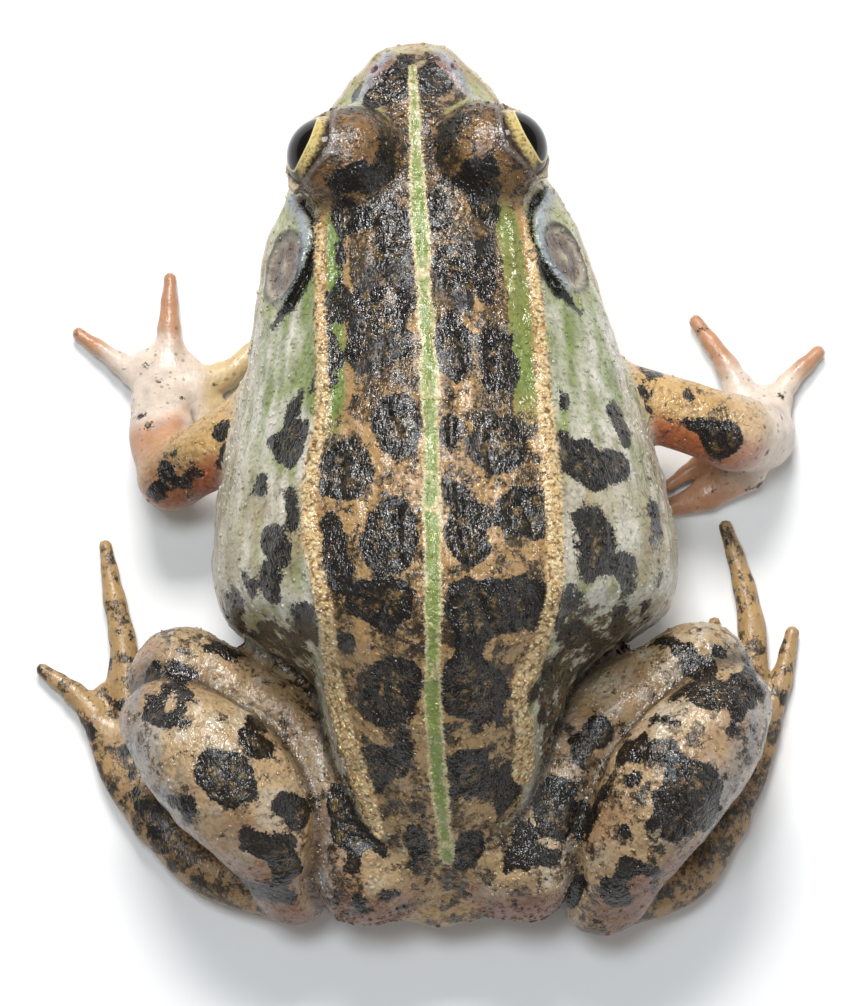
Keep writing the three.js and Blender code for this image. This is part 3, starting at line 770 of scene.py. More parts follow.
    def brow_distance(self, x: Array, y: Array, z: Array, side: Side) -> Array:
        """Distance from the edge that runs from an eye to its nostril, mm."""
        return path_distance(x, y, z, [(side.value * a, b, c) for a, b, c in self.brow])[0]

    def over_ear(self, x: Array, y: Array, z: Array, line: tuple, side: Side) -> tuple[Array, Array]:
        """Plan distance from a line over the ear, and how far along it a place is from 0 to 1."""
        flat = self.mirrored(tuple((a, b, 0.0) for a, b in line), side)
        gap, along = path_distance(x, y, 0 * z, flat)
        return gap + FAR * (z < self.ear_lowest), along

    def mirrored(self, path: tuple, side: Side) -> list:
        """A line given for the left side, as it runs on either side."""
        return [(side.value * a - 0.2, b, c) for a, b, c in path]


# ---- Lines and spots of the pattern ----

# The stripe along the middle of the back, and the raised fold along each side of it, as [y, x] seen from above.
MID_LINE = (
    (-34.5, 0.1), (-21.0, 0.07), (-12.4, -0.2), (-4.0, -0.3), (4.2, -0.16), (12.0, 0.0), (19.3, 0.4), (26.0, 0.1),
    (31.5, -0.45),
)
FOLD_LINES = {
    Side.LEFT: (
        (-21.2, 8.1), (-17.2, 8.2), (-12.2, 8.2), (-4.65, 8.3), (3.3, 9.6), (7.8, 9.3), (12.8, 8.5), (18.2, 8.1),
        (21.8, 7.2), (25.8, 6.0), (30.0, 5.0),
    ),
    Side.RIGHT: (
        (-21.2, -8.2), (-17.2, -8.8), (-12.5, -9.2), (-4.0, -9.4), (4.0, -9.7), (8.0, -9.7), (11.8, -9.4),
        (15.5, -8.2), (18.7, -6.6), (22.0, -6.9), (26.0, -6.2),
    ),
}

# Short creases in the dark blotches, each from [x, y] to [x, y].
CREASES = (
    (3.1, -3.8, 2.2, -1.3), (6.9, 0.3, 7.0, 3.6), (2.6, 4.4, 2.4, 9.1), (-2.3, 3.9, -3.1, 10.2),
    (-2.3, -4.2, -1.8, -0.5), (-4.8, -1.4, -5.0, 1.7), (-7.3, 4.1, -8.1, 6.5), (3.2, -9.8, 3.6, -6.2),
    (-3.0, -9.6, -3.4, -6.2), (3.4, 11.0, 4.6, 13.6), (-3.6, 12.0, -4.8, 14.6), (5.6, 17.6, 4.6, 20.2),
)

# Dark spots as [x, y, half length across, half length along, turn in degrees], seen from above.
BODY_SPOTS = (
    (-5.8, -7.9, 1.6, 2.4, 0), (-5.4, -0.5, 2.4, 2.4, 0), (-7.6, 5.4, 2.0, 2.2, -12), (-11.3, 0.7, 2.4, 1.7, -28),
    (-15.0, 1.1, 0.8, 1.0, 0), (-12.9, 7.8, 1.8, 2.9, 8), (-15.1, 9.4, 1.1, 1.5, 8), (-2.6, 6.4, 1.7, 3.0, 8),
    (-6.9, 12.6, 2.0, 1.6, 0), (-3.2, 12.4, 2.2, 1.8, 0), (-10.8, 12.2, 1.0, 1.2, 0), (-12.7, 13.6, 1.5, 1.1, 8),
    (-14.8, 12.9, 0.9, 1.4, 0), (-17.0, 12.1, 0.7, 1.0, 0), (-19.0, 10.6, 0.5, 1.0, 0), (-2.2, -8.2, 1.4, 2.8, 0),
    (-1.8, -1.7, 1.1, 1.7, 0), (-3.3, -12.4, 0.8, 1.0, 0), (-15.7, -2.8, 0.6, 1.3, 23), (-17.6, 4.1, 0.4, 1.4, 3),
    (-10.9, -4.1, 0.4, 0.7, 0), (2.3, -2.2, 1.8, 2.7, -12), (6.6, 1.0, 2.3, 2.2, 0), (3.4, 6.9, 2.4, 3.2, -17),
    (7.6, 8.5, 1.2, 2.7, 3), (4.3, 12.1, 3.0, 1.5, 0), (12.6, 8.1, 1.4, 2.8, -10), (14.2, 9.3, 0.7, 1.5, -17),
    (10.9, -1.8, 1.3, 2.0, -22), (13.4, 0.8, 0.8, 1.1, 0), (11.0, 2.9, 0.7, 1.8, 0), (10.1, -5.2, 0.8, 1.9, -38),
    (3.6, -9.9, 2.5, 2.8, 0), (7.8, -9.4, 0.5, 3.9, 0), (15.9, 10.2, 1.0, 1.3, 0),
    (13.4, 12.5, 1.5, 1.0, 0), (10.0, 12.5, 1.0, 2.7, 6), (4.6, -23.2, 2.2, 1.2, 3), (2.6, -24.3, 0.7, 1.9, 0),
    (-4.2, -23.0, 2.4, 1.0, 6), (-2.5, -26.3, 0.9, 2.1, 0), (1.4, -32.7, 1.3, 1.9, -12), (-2.1, -32.1, 1.1, 1.4, 39),
    (3.4, -30.9, 1.2, 1.2, 39), (6.5, -16.1, 0.5, 3.8, 0), (3.2, -13.8, 2.2, 2.4, 0), (-2.7, -15.8, 1.8, 1.9, 0),
    (-5.1, -15.0, 0.8, 2.2, 0), (2.0, -18.3, 1.2, 2.2, 0), (-1.9, -20.5, 1.2, 1.8, 0), (3.3, -20.3, 1.2, 0.8, 29),
    (-5.4, -20.9, 1.2, 1.2, 0), (5.9, -20.2, 1.0, 1.2, 0), (4.4, 12.0, 3.2, 1.9, 0), (6.9, 14.5, 0.8, 1.0, 0),
    (4.0, 18.5, 2.5, 2.3, 0), (-3.0, 18.8, 2.7, 2.6, 0), (-4.0, 13.2, 3.8, 1.7, 0), (-7.9, 18.9, 1.2, 0.8, 13),
    (5.2, 24.0, 2.0, 1.6, -17), (2.9, 25.0, 0.3, 2.9, 0), (-2.3, 25.0, 2.1, 1.5, 13), (-5.1, 24.9, 0.8, 1.6, -12),
    (1.9, 29.1, 1.3, 1.4, 0), (-1.8, 29.7, 1.3, 1.5, 0), (7.7, 21.9, 0.5, 0.6, 0), (6.8, 24.8, 0.5, 1.4, 28),
    (-11.8, 16.5, 2.7, 1.1, 10), (-11.6, 14.0, 1.8, 1.1, 8), (-15.3, 15.1, 0.7, 0.4, 8),
)
LEG_SPOTS = (
    (-19.6, 14.3, 0.9, 0.6, 0), (-23.3, 14.7, 0.9, 0.7, 0), (-22.0, 16.0, 2.2, 0.8, 13), (-19.0, 17.8, 2.2, 0.8, 26),
    (-12.6, 21.8, 0.9, 2.0, -22), (-21.9, 18.7, 1.5, 1.4, 0), (-18.9, 20.7, 1.8, 0.8, -10), (-15.6, 22.3, 1.3, 0.8, 18),
    (-17.4, 22.8, 1.3, 1.0, -22), (-22.2, 20.7, 0.5, 0.7, 0), (-20.1, 25.1, 2.3, 1.8, 23), (-13.1, 25.7, 1.0, 1.4, -22),
    (-15.1, 25.4, 0.9, 0.6, -22), (-12.0, 27.6, 0.9, 1.8, -22), (-17.7, 27.4, 0.9, 0.9, 0), (-14.5, 29.7, 1.0, 1.1, 0),
    (-16.5, 29.3, 0.9, 0.9, 0), (-15.4, 32.1, 2.0, 1.4, 0), (-10.8, 33.1, 1.3, 1.2, -32), (-24.0, 19.9, 0.8, 2.7, -7),
    (-21.3, 27.0, 1.3, 1.8, -32), (-13.7, 34.0, 2.2, 1.1, -17), (-18.5, 29.8, 1.1, 0.9, 0), (19.5, 14.9, 2.7, 0.8, -24),
    (22.9, 13.8, 0.7, 0.8, 0), (16.6, 12.9, 1.4, 0.6, -12), (21.0, 18.5, 1.7, 2.4, 13), (20.2, 17.1, 1.6, 1.0, -12),
    (14.7, 21.4, 1.4, 1.2, -22), (17.3, 23.7, 2.7, 2.3, -12), (12.7, 22.6, 0.6, 0.5, 0), (15.4, 23.9, 0.6, 0.9, 0),
    (14.2, 19.5, 1.6, 0.5, -27), (12.9, 29.8, 1.4, 1.4, 0), (14.7, 28.9, 1.7, 1.0, -12), (20.2, 25.5, 1.4, 1.1, -32),
    (11.2, 26.3, 1.0, 1.7, 8), (13.9, 32.6, 2.0, 0.9, 0), (7.1, 28.4, 1.9, 1.5, -12), (7.2, 31.0, 1.1, 1.1, 0),
    (5.6, 31.6, 0.8, 0.8, 0), (3.9, 33.5, 1.0, 0.8, 0), (6.4, 33.9, 1.4, 0.8, 0), (7.9, 26.1, 1.3, 0.9, 0),
    (4.6, 29.8, 0.9, 1.4, 0), (-8.7, 26.6, 1.9, 2.1, 18), (-6.2, 28.9, 1.4, 1.4, 0), (-8.4, 31.0, 1.9, 1.0, 0),
)
ARM_SPOTS = (
    (-18.1, -5.4, 0.6, 1.0, 18), (-21.9, -4.2, 2.2, 0.9, -20), (-23.9, -3.4, 1.6, 1.6, 0), (-20.0, -5.4, 0.4, 0.3, 0),
    (-21.4, -6.6, 0.6, 0.3, -33), (-18.0, -9.1, 0.6, 0.3, -23), (-17.1, -7.0, 0.3, 0.3, 0),
    (-19.8, -4.8, 0.9, 0.6, -23), (19.2, -2.1, 2.5, 0.9, 20), (21.6, -2.6, 0.9, 0.9, 0),
    (20.5, -4.6, 0.5, 0.4, 39), (16.3, -3.2, 0.6, 0.7, 8),
    (16.8, -5.2, 0.3, 0.4, 0), (22.3, -1.2, 0.8, 0.9, 0), (21.0, -3.9, 0.6, 0.4, 39),
)


def line_value(line: tuple, y: Array) -> Array:
    """The second number of a line of [y, value] points, at any y."""
    return np.interp(y, [p[0] for p in line], [p[1] for p in line])


def fold_path(side: Side) -> Array:
    """The raised fold along one side of the back, as closely spaced points in plan."""
    knots = np.array([(x, y, 0.0) for y, x in FOLD_LINES[side]])
    return through(knots, np.linspace(0, 1, 40))


def fold_distance(points: Array, side: Side) -> tuple[Array, Array]:
    """Plan distance from a fold in mm, and how far along it from 0 at the eye to 1 at the rump."""
    return path_distance(points[:, 0], points[:, 1], np.zeros(len(points)), fold_path(side))


def crease_distance(points: Array) -> Array:
    """Plan distance in mm from the nearest of the short creases of the back."""
    nearest = np.full(len(points), FAR)
    level = np.zeros(len(points))
    for x0, y0, x1, y1 in CREASES:
        near = np.hypot(points[:, 0] - (x0 + x1) / 2, points[:, 1] - (y0 + y1) / 2) < 6
        middle = ((x0 + x1) / 2 + 0.15, (y0 + y1) / 2, 0)
        gap, _ = path_distance(points[near, 0], points[near, 1], level[near], [(x0, y0, 0), middle, (x1, y1, 0)])
        nearest[near] = np.minimum(nearest[near], gap)
    return nearest


def spot_distance(points: Array, normals: Array, spots: tuple, share: Array) -> Array:
    """How far places on the skin are from the edge of the nearest of a list of spots.

    Args:
        points: N x 3 places in mm.
        normals: N x 3 directions that the skin faces there.
        spots: Spots as [x, y, half length across, half length along, turn in degrees], seen from above.
        share: How much each place belongs to the part of the frog that carries these spots.

    Returns:
        N distances in mm, negative inside a spot.
    """
    nearest = np.full(len(points), FAR)
    on_top = (share > 0.5) & (normals[:, 2] > 0.05)
    top, top_normals = points[on_top], normals[on_top]
    for x, y, across, along, turn in spots:
        plan = (top[:, 0] - x) ** 2 + (top[:, 1] - y) ** 2
        close = plan < 0.9**2
        if not close.any():
            continue
        highest = np.flatnonzero(close)[np.argmax(top[close, 2])]
        middle, out = np.array([x, y, top[highest, 2]]), top_normals[highest]
        angle = math.radians(turn)
        span = points - middle
        a = (span[:, 0] * math.cos(angle) + span[:, 1] * math.sin(angle)) / across
        b = (span[:, 1] * math.cos(angle) - span[:, 0] * math.sin(angle)) / along
        size = min(across, along)
        c = (span @ out) / (0.8 * size + 0.9)
        nearest = np.minimum(nearest, (np.sqrt(a * a + b * b + c * c) - 1) * size)
    return nearest + 4 * ramp(share, 0.6, 0.3)


def scatter(points: Array, spacing: float, radius: float, spread: float, share: float, seed: int) -> Array:
    """Signed distance to round spots strewn at random through space.

    Args:
        points: N x 3 places in mm.
        spacing: Size of the cell that holds one spot, mm.
        radius: Middle radius of a spot, mm.
        spread: How much the radius varies up and down, mm.
        share: Share of the cells that hold a spot.
        seed: Picks the pattern.

    Returns:
        N distances in mm, negative inside a spot.
    """
    cell = np.floor(points / spacing).astype(np.int64)
    nearest = np.full(len(points), FAR)
    for corner in product((-1, 0, 1), repeat=3):
        at = cell + corner
        middle = np.empty_like(points)
        for axis in range(3):
            jitter = noise((at + 0.5) * 7.31 + axis * 101.7, 1.0, seed + axis)
            middle[:, axis] = (at[:, axis] + 0.5 + 0.45 * jitter) * spacing
        draw = noise((at + 0.5) * 5.77, 1.0, seed + 5)
        size = radius + spread * draw
        there = noise((at + 0.5) * 3.93, 1.0, seed + 9) * 0.5 + 0.5 < share
        gap = np.linalg.norm(points - middle, axis=1) - size
        nearest = np.minimum(nearest, np.where(there, gap, FAR))
    return nearest


def limb_creases(points: Array, shares: dict[Zone, Array]) -> Array:
    """1 along the lines where the shank lies against the thigh, and the folded leg against the flank."""
    thigh, shank, body = shares[Zone.THIGH], shares[Zone.SHANK], shares[Zone.BODY]
    flank = body * (thigh + shank) * ramp(points[:, 1], 20, 15)
    return np.sqrt(np.clip(4 * (thigh * shank + 0.8 * flank), 0, 1))


@dataclass(frozen=True)
class Relief:
    """How far the skin stands out from the smooth clay: folds, short ridges, warts and slight unevenness."""

    fold_height: float = 0.42
    fold_width: float = 0.8
    ridge_count: int = 130
    ridge_height: float = 0.2
    ridge_width: float = 0.3
    seed: int = 11
    crease_depth: float = 0.3
    crease_width: float = 0.24
    limb_crease_depth: float = 0.6

    def height(self, points: Array, normals: Array, shares: dict[Zone, Array]) -> Array:
        """How far to move each place outwards, mm.

        Args:
            points: N x 3 places in mm.
            normals: N x 3 directions that the clay faces there.
            shares: How much each place belongs to each zone.

        Returns:
            N heights in mm.
        """
        body = shares[Zone.BODY]
        x, y, _ = points.T
        up = normals[:, 2]
        upward = ramp(up, -0.1, 0.35)
        total = self._folds(points) * body * upward
        total += self._ridges(points) * body * ramp(up, 0.2, 0.5)
        total -= self.crease_depth * bell(crease_distance(points), self.crease_width) * body * upward
        limb = shares[Zone.THIGH] + shares[Zone.SHANK]
        thin = shares[Zone.HAND] + shares[Zone.FOOT]
        coarse = body + limb
        clear = 1 - ramp(eye_distance(points), 5.2, 4.2)  # the lids keep their smooth shape
        total -= self.limb_crease_depth * limb_creases(points, shares)
        total += 0.15 * noise(points, 4.5, 3) * coarse * clear
        total += 0.12 * noise(points, 1.9, 4) * coarse * clear
        total += 0.1 * noise(points, (1.0, 1.3, 1.0), 5) * coarse * clear
        flank = body * ramp(up, 0.75, 0.4) * ramp(y, -16, -10)
        total += 0.09 * np.abs(noise(points, (1.0, 5.0, 1.0), 9)) * flank
        total += 0.03 * noise(points, 0.9, 6) * (thin + shares[Zone.ARM])
        rear = shares[Zone.THIGH] * ramp(y, 27, 32) + body * ramp(y, 27, 32)
        total += 0.10 * np.maximum(noise(points, 0.9, 8), 0) * rear
        total -= 0.12 * bell(x - line_value(MID_LINE, y), 0.55) * body * upward * ramp(y, -30, -20)
        return total

    def _folds(self, points: Array) -> Array:
        """The long folds, beaded with small warts."""
        total = np.zeros(len(points))
        for side in Side:
            gap, along = fold_distance(points, side)
            bead = 1 + 0.35 * noise(points, (0.9, 1.3, 0.9), 21 + side.value)
            ends = ramp(along, 0.0, 0.04) * ramp(along, 1.0, 0.93)
            total = np.maximum(total, self.fold_height * bead * bell(gap, self.fold_width) * ends)
        return total

    def _ridges(self, points: Array) -> Array:
        """Short ridges that lie along the back and the flanks."""
        random = np.random.default_rng(self.seed)
        total = np.zeros(len(points))
        for _ in range(self.ridge_count):
            y = random.uniform(-19, 26)
            width = 9 if y < 14 else max(9 - (y - 14) * 0.3, 4)
            x = random.uniform(-1.75, 1.75) * width
            turn = random.normal(0, 0.12)
            length = random.uniform(0.5, 1.9)
            height = self.ridge_height * random.uniform(0.5, 1.1)
            near = (np.abs(points[:, 0] - x) < 3) & (np.abs(points[:, 1] - y) < 3)
            dx, dy = points[near, 0] - x, points[near, 1] - y
            across = dx * math.cos(turn) + dy * math.sin(turn)
            along = np.maximum(np.abs(dy * math.cos(turn) - dx * math.sin(turn)) - length, 0)
            ridge = height * bell(np.hypot(across, along), self.ridge_width)
            total[near] = np.maximum(total[near], ridge)
        return total


@dataclass(frozen=True)
class Palette:
    """The skin's own colours."""

    tan: Colour = tone(196, 158, 108)
    rump: Colour = tone(192, 160, 114)
    green: Colour = tone(146, 162, 96)
    grass: Colour = tone(130, 154, 82)
    whitish: Colour = tone(232, 228, 216)
    sand: Colour = tone(184, 166, 130)
    cream: Colour = tone(232, 224, 200)
    belly: Colour = tone(236, 230, 212)
    lip_line: Colour = tone(176, 134, 74)
    snout: Colour = tone(168, 138, 108)
    nose: Colour = tone(156, 96, 72)
    snout_tip: Colour = tone(214, 186, 158)
    lid: Colour = tone(142, 104, 60)
    cheek: Colour = tone(186, 188, 122)
    # painted highlight: the blue-white glint along the raised edges of snout, lids and ear folds
    blue: Colour = tone(178, 188, 206)
    # black of lid edges and eardrum rings, also used as painted shade where the legs fold against the body
    ink: Colour = tone(30, 26, 24)
    eardrum: Colour = tone(118, 86, 72)
    eardrum_rim: Colour = tone(202, 196, 182)
    lid_rim: Colour = tone(212, 196, 170)
    upper_arm: Colour = tone(222, 182, 122)
    arm_rear: Colour = tone(198, 112, 70)
    elbow: Colour = tone(64, 42, 26)
    hand: Colour = tone(248, 230, 216)
    finger: Colour = tone(236, 208, 160)
    # warm finger tips; on the right hand also painted shade over the thumb and the finger beside it
    finger_tip: Colour = tone(206, 140, 92)
    leg: Colour = tone(208, 178, 138)
    leg_front: Colour = tone(160, 108, 74)
    leg_side: Colour = tone(156, 160, 168)
    leg_rear: Colour = tone(144, 92, 64)
    leg_under: Colour = tone(230, 204, 182)
    foot: Colour = tone(178, 142, 98)
    web: Colour = tone(206, 170, 118)


@dataclass(frozen=True)
class Pattern:
    """The skin's markings, worked out at each of its points."""

    colours: Palette = field(default_factory=Palette)
    head: Head = field(default_factory=Head)
    stripe_half_width: float = 0.66
    fold_half_width: float = 0.68

    def marks(self, points: Array, normals: Array, shares: dict[Zone, Array]) -> dict[str, Array]:
        """Every named value that the skin's material reads.

        Args:
            points: N x 3 places in mm.
            normals: N x 3 directions that the skin faces there.
            shares: How much each place belongs to each zone.

        Returns:
            ground (N x 3 colours), spot (dark spots, with painted shade in the ear creases), stripe and fold (N
            distances in mm), and dusk (how much is mottled dark), moist, fine and granular (N shares).
        """
        ground = np.zeros((len(points), 3))
        for zone, paint in {
            Zone.BODY: self._body, Zone.ARM: self._arm, Zone.HAND: self._hand,
            Zone.THIGH: self._leg, Zone.SHANK: self._leg, Zone.FOOT: self._foot,
        }.items():
            ground += paint(points, normals) * shares[zone][:, None]
        thin = shares[Zone.HAND] + shares[Zone.FOOT]
        fold = self._fold(points, normals, shares[Zone.BODY])
        # where the highlights are painted as blue-white lines, kept clear of dark marks
        highlight_lines = self._painted_highlight_lines(points)
        beside = shares[Zone.THIGH] * ramp(points[:, 1], 13, 16) * ramp(points[:, 1], 31, 28)
        ground = mix(ground, self.colours.cream, 0.6 * bell(shares[Zone.BODY] - 0.88, 0.1) * (beside > 0.03))
        # painted shade: ink darkens the skin where the thigh lies against the flank, and along the creases between
        # shank and thigh and between folded leg and flank
        ground = mix(ground, self.colours.ink, np.clip(4 * shares[Zone.BODY] * beside, 0, 0.9))
        ground = mix(ground, self.colours.ink, 0.8 * limb_creases(points, shares) ** 2)
        return {
            "ground": ground,
            # painted shade: the black line in each ear crease joins the dark spots
            "spot": np.minimum(self._spots(points, normals, shares) + 2 * highlight_lines, self._ear_crease_shade(points, shares)),
            "stripe": self._stripe(points, normals, shares[Zone.BODY]),
            "fold": fold,
            "dusk": self._dusk(points, normals, shares) * (1 - highlight_lines) * ramp(fold, -0.5, 0.3),
            "moist": np.clip(ramp(normals[:, 2], -0.3, 0.5) * (1 - 0.35 * thin), 0, 1),
            "fine": thin,
            "granular": self._granular(points, normals, shares, fold),
        }

    def _painted_highlight_lines(self, points: Array) -> Array:
        """1 on the painted blue-white highlights along the edges of the snout, lids and ear folds, which no dark mark
        covers.
        """
        total = np.zeros(len(points))
        for side in Side:
            brow = self.head.brow_distance(*points.T, side)
            fold, along = self.head.over_ear(*points.T, self.head.ear_fold, side)
            away, ahead, lift = EyeFrame(side).angles(*points.T)
            edge = np.hypot(ahead / self.head.opening_front, lift / self.head.opening_up) - 1
            lid = 0.6 * bell(edge - 0.2, 0.07) * ramp(away, 5.0, 4.4)
            total = np.maximum.reduce([total, bell(brow, 0.6) * 0.9, bell(fold, 0.5) * ramp(along, 1.0, 0.75), lid])
        return np.clip(total, 0, 1)

    def _ear_crease_shade(self, points: Array, shares: dict[Zone, Array]) -> Array:
        """Distance from the edge of the black line painted along the crease that runs from each eye over the eardrum,
        as painted shade in the groove.
        """
        made = np.full(len(points), FAR)
        for side in Side:
            gap, along = self.head.over_ear(*points.T, self.head.ear_crease, side)
            made = np.minimum(made, gap - 0.3 - 0.25 * ramp(along, 0.4, 0.7) + 0.3 * ramp(along, 0.85, 1.0))
        return made + 3 * (shares[Zone.BODY] < 0.5)

    def _granular(self, points: Array, normals: Array, shares: dict[Zone, Array], fold: Array) -> Array:
        """How thickly grains of skin stand on each place, from 0 to 1."""
        x, y, _ = points.T
        body, top = shares[Zone.BODY], ramp(normals[:, 2], 0.0, 0.5)
        thick = (0.16 + 0.22 * ramp(y, 16, 28)) * body * top
        lid = np.minimum(*(np.hypot(x - side.value * 5.2, y + 25.6) for side in Side))
        thick = np.maximum(thick, 0.3 * ramp(lid, 4.2, 3.0) * ramp(eye_distance(points), 4.0, 4.4))
        thick += (0.14 + 0.3 * ramp(y, 27, 32)) * shares[Zone.THIGH] + 0.12 * shares[Zone.SHANK] * top
        thick += 0.1 * shares[Zone.ARM] * top
        thick = np.maximum(thick, ramp(fold, 0.25, -0.25))
        return thick * ramp(points[:, 2], 1.5, 3.5)

    def _dusk(self, points: Array, normals: Array, shares: dict[Zone, Array]) -> Array:
        """How much of the skin is mottled dark, from place to place."""
        x, y, z = points.T
        out = self._beyond_fold(x, y)
        back = 0.53 + 0.17 * ramp(y, 0, -8) + 0.18 * noise(points, 3.5, 97)
        band = ramp(out, -2.7, -2.2) * ramp(out, 0.2, -0.3) * ramp(y, -1.0, -6.0) * ramp(y, -23.0, -20.5)
        back = back * (1 - 0.85 * band)
        groin = ramp(y, 10.5, 13.5) * ramp(out, 0.6, 1.8)
        flank = 0.08 + 0.54 * groin
        body = back + (flank - back) * ramp(out, 0.0, 0.9)
        head = 0.54 + 0.26 * bell(x, 2.4) * ramp(y, -31, -28) + 0.06 * ramp(y, -28.5, -30.5)
        for side in Side:
            lid = np.hypot(x - side.value * 5.6, y + 26.0)
            head = head + (0.4 - head) * ramp(lid, 3.6, 1.6)
            head = head + 0.45 * bell(lid - 3.5, 0.7) * ramp(side.value * x, 6.0, 4.0)
        side_on = ramp(normals[:, 2], 0.86, 0.6) * ramp(z, 20.8, 19.4)
        head = head * (1 - 0.9 * side_on)
        body = body + (head - body) * ramp(y, -19.0, -21.5)
        body = body * ramp(z, 4.0, 7.5)
        top = ramp(normals[:, 2], -0.1, 0.35)
        leg = (0.34 + 0.2 * noise(points, 3.0, 98)) * (0.35 + 0.65 * top)
        elbow = np.maximum(bell(np.hypot(x - 21.3, y + 2.4), 2.6), bell(np.hypot(x + 23.4, y + 4.0), 2.8))
        arm = (0.12 + 0.5 * elbow) * top
        foot = (0.3 + 0.12 * ramp(y, 14, 22)) * top + 0.1
        return (
            body * shares[Zone.BODY] + leg * (shares[Zone.THIGH] + shares[Zone.SHANK])
            + arm * shares[Zone.ARM] + 0.03 * shares[Zone.HAND] + foot * shares[Zone.FOOT]
        )

    def _beyond_fold(self, x: Array, y: Array) -> Array:
        """How far out from the fold of its side a place is in plan, mm, negative on the back."""
        left, right = (line_value(FOLD_LINES[side], y) for side in Side)
        return np.abs(x) - np.where(x > 0, left, -right)

    def _stripe(self, points: Array, normals: Array, body: Array) -> Array:
        """Distance from the edge of the stripe along the middle of the back."""
        x, y = points[:, 0], points[:, 1]
        half = self.stripe_half_width * (1 + 0.3 * noise(points, (9, 2.2, 9), 31)) * (0.55 + 0.45 * ramp(y, -33, -20))
        ends = 3 * ramp(y, -33.6, -35.0) + 3 * ramp(y, 30.5, 32.5)
        return np.abs(x - line_value(MID_LINE, y)) - half + ends + 4 * (body < 0.5) + 4 * (normals[:, 2] < 0.1)

    def _fold(self, points: Array, normals: Array, body: Array) -> Array:
        """Distance from the edge of the pale fold along each side of the back."""
        nearest = np.full(len(points), FAR)
        for side in Side:
            gap, along = fold_distance(points, side)
            half = self.fold_half_width * (1 + 0.3 * noise(points, (9, 1.6, 9), 35))
            half = half * (0.5 + 0.5 * ramp(along, 0.1, 0.4))
            nearest = np.minimum(nearest, gap - half + 3 * ramp(along, 0.97, 1.0) + 3 * ramp(along, 0.03, 0.0))
        return nearest + 4 * (body < 0.4) + 4 * (normals[:, 2] < 0.1)

    def _spots(self, points: Array, normals: Array, shares: dict[Zone, Array]) -> Array:
        """Distance from the edge of the nearest dark mark."""
        body, arm = shares[Zone.BODY], shares[Zone.ARM]
        leg = shares[Zone.THIGH] + shares[Zone.SHANK]
        foot, hand = shares[Zone.FOOT], shares[Zone.HAND]
        x, y, z = points.T
        up = normals[:, 2]
        wander = 0.7 * noise(points, 2.6, 41) + 0.4 * noise(points, 1.2, 42) + 0.2 * noise(points, 0.6, 43)
        back = spot_distance(points, normals, BODY_SPOTS, body) - 0.2 * ramp(self._beyond_fold(x, y), 1.5, 0)
        flank = scatter(points, 4.6, 1.15, 0.4, 0.75, 51) + 5 * ramp(z, 8.5, 10.5)
        flank += 5 * ramp(z, 5.2, 3.6) + 5 * (body < 0.6) + 5 * ramp(y, -6, -10)
        legs = spot_distance(points, normals, LEG_SPOTS, leg) - 0.1
        outer = scatter(points, 3.4, 1.0, 0.35, 0.8, 61) + 5 * ramp(up, 0.1, 0.4) + 5 * (leg < 0.5)
        outer += 5 * ramp(z, 2.4, 1.2)
        arms = spot_distance(points, normals, ARM_SPOTS, arm + hand)
        feet = scatter(points, 2.3, 0.62, 0.25, 0.72, 71) + 5 * (foot < 0.5) + 5 * ramp(up, -0.1, -0.4)
        feet += 5 * ramp(y, 12, 7)
        fine = scatter(points, 1.5, 0.28, 0.14, 0.5, 81) + 5 * (hand + foot < 0.5) + 5 * ramp(up, 0.0, -0.3)
        nearest = np.minimum.reduce([back, flank, legs, outer, arms, feet, fine])
        return nearest + wander * (1 - 0.65 * hand - 0.4 * foot + 0.6 * leg)

    def _body(self, points: Array, normals: Array) -> Array:
        """Ground colour of head and trunk."""
        c = self.colours
        x, y, z = points.T
        out = self._beyond_fold(x, y)
        streaks = noise(points, (0.9, 6.0, 1.0), 91) + 0.5 * noise(points, (0.5, 3.0, 0.5), 93)
        soft = noise(points, 3.2, 92)
        back = mix(c.tan, c.rump, ramp(y, 10, 22) * 0.8)
        width = np.where(x > 0, 1.9, 2.5)
        band = ramp(out, -width - 0.15, -width + 0.15) * ramp(out, -0.5, -0.8)
        band = band * ramp(y, 0.5, -5.0) * ramp(y, -23.0, -20.5)
        back = mix(back, c.grass, band * np.clip(0.85 + 0.3 * soft, 0, 1))
        green = ramp(out, 4.5, 0.5) * ramp(y, 6, -2) * np.clip(0.6 + 0.9 * soft, 0, 1)
        pale = np.clip(0.36 + 0.3 * ramp(y, -9, -3) + 0.45 * ramp(z, 20, 14) + 0.8 * streaks - 0.6 * green, 0, 1)
        flank = mix(c.green, c.whitish, pale)
        flank = mix(flank, c.sand, ramp(y, -5, 4) * np.clip(0.5 + 0.5 * soft - 0.4 * streaks, 0, 1) * ramp(y, 13, 9))
        flank = mix(flank, c.belly, ramp(z, 7.0, 4.0))
        made = mix(back, flank, ramp(out, -0.1, 0.7))
        return self._head(made, points, normals)

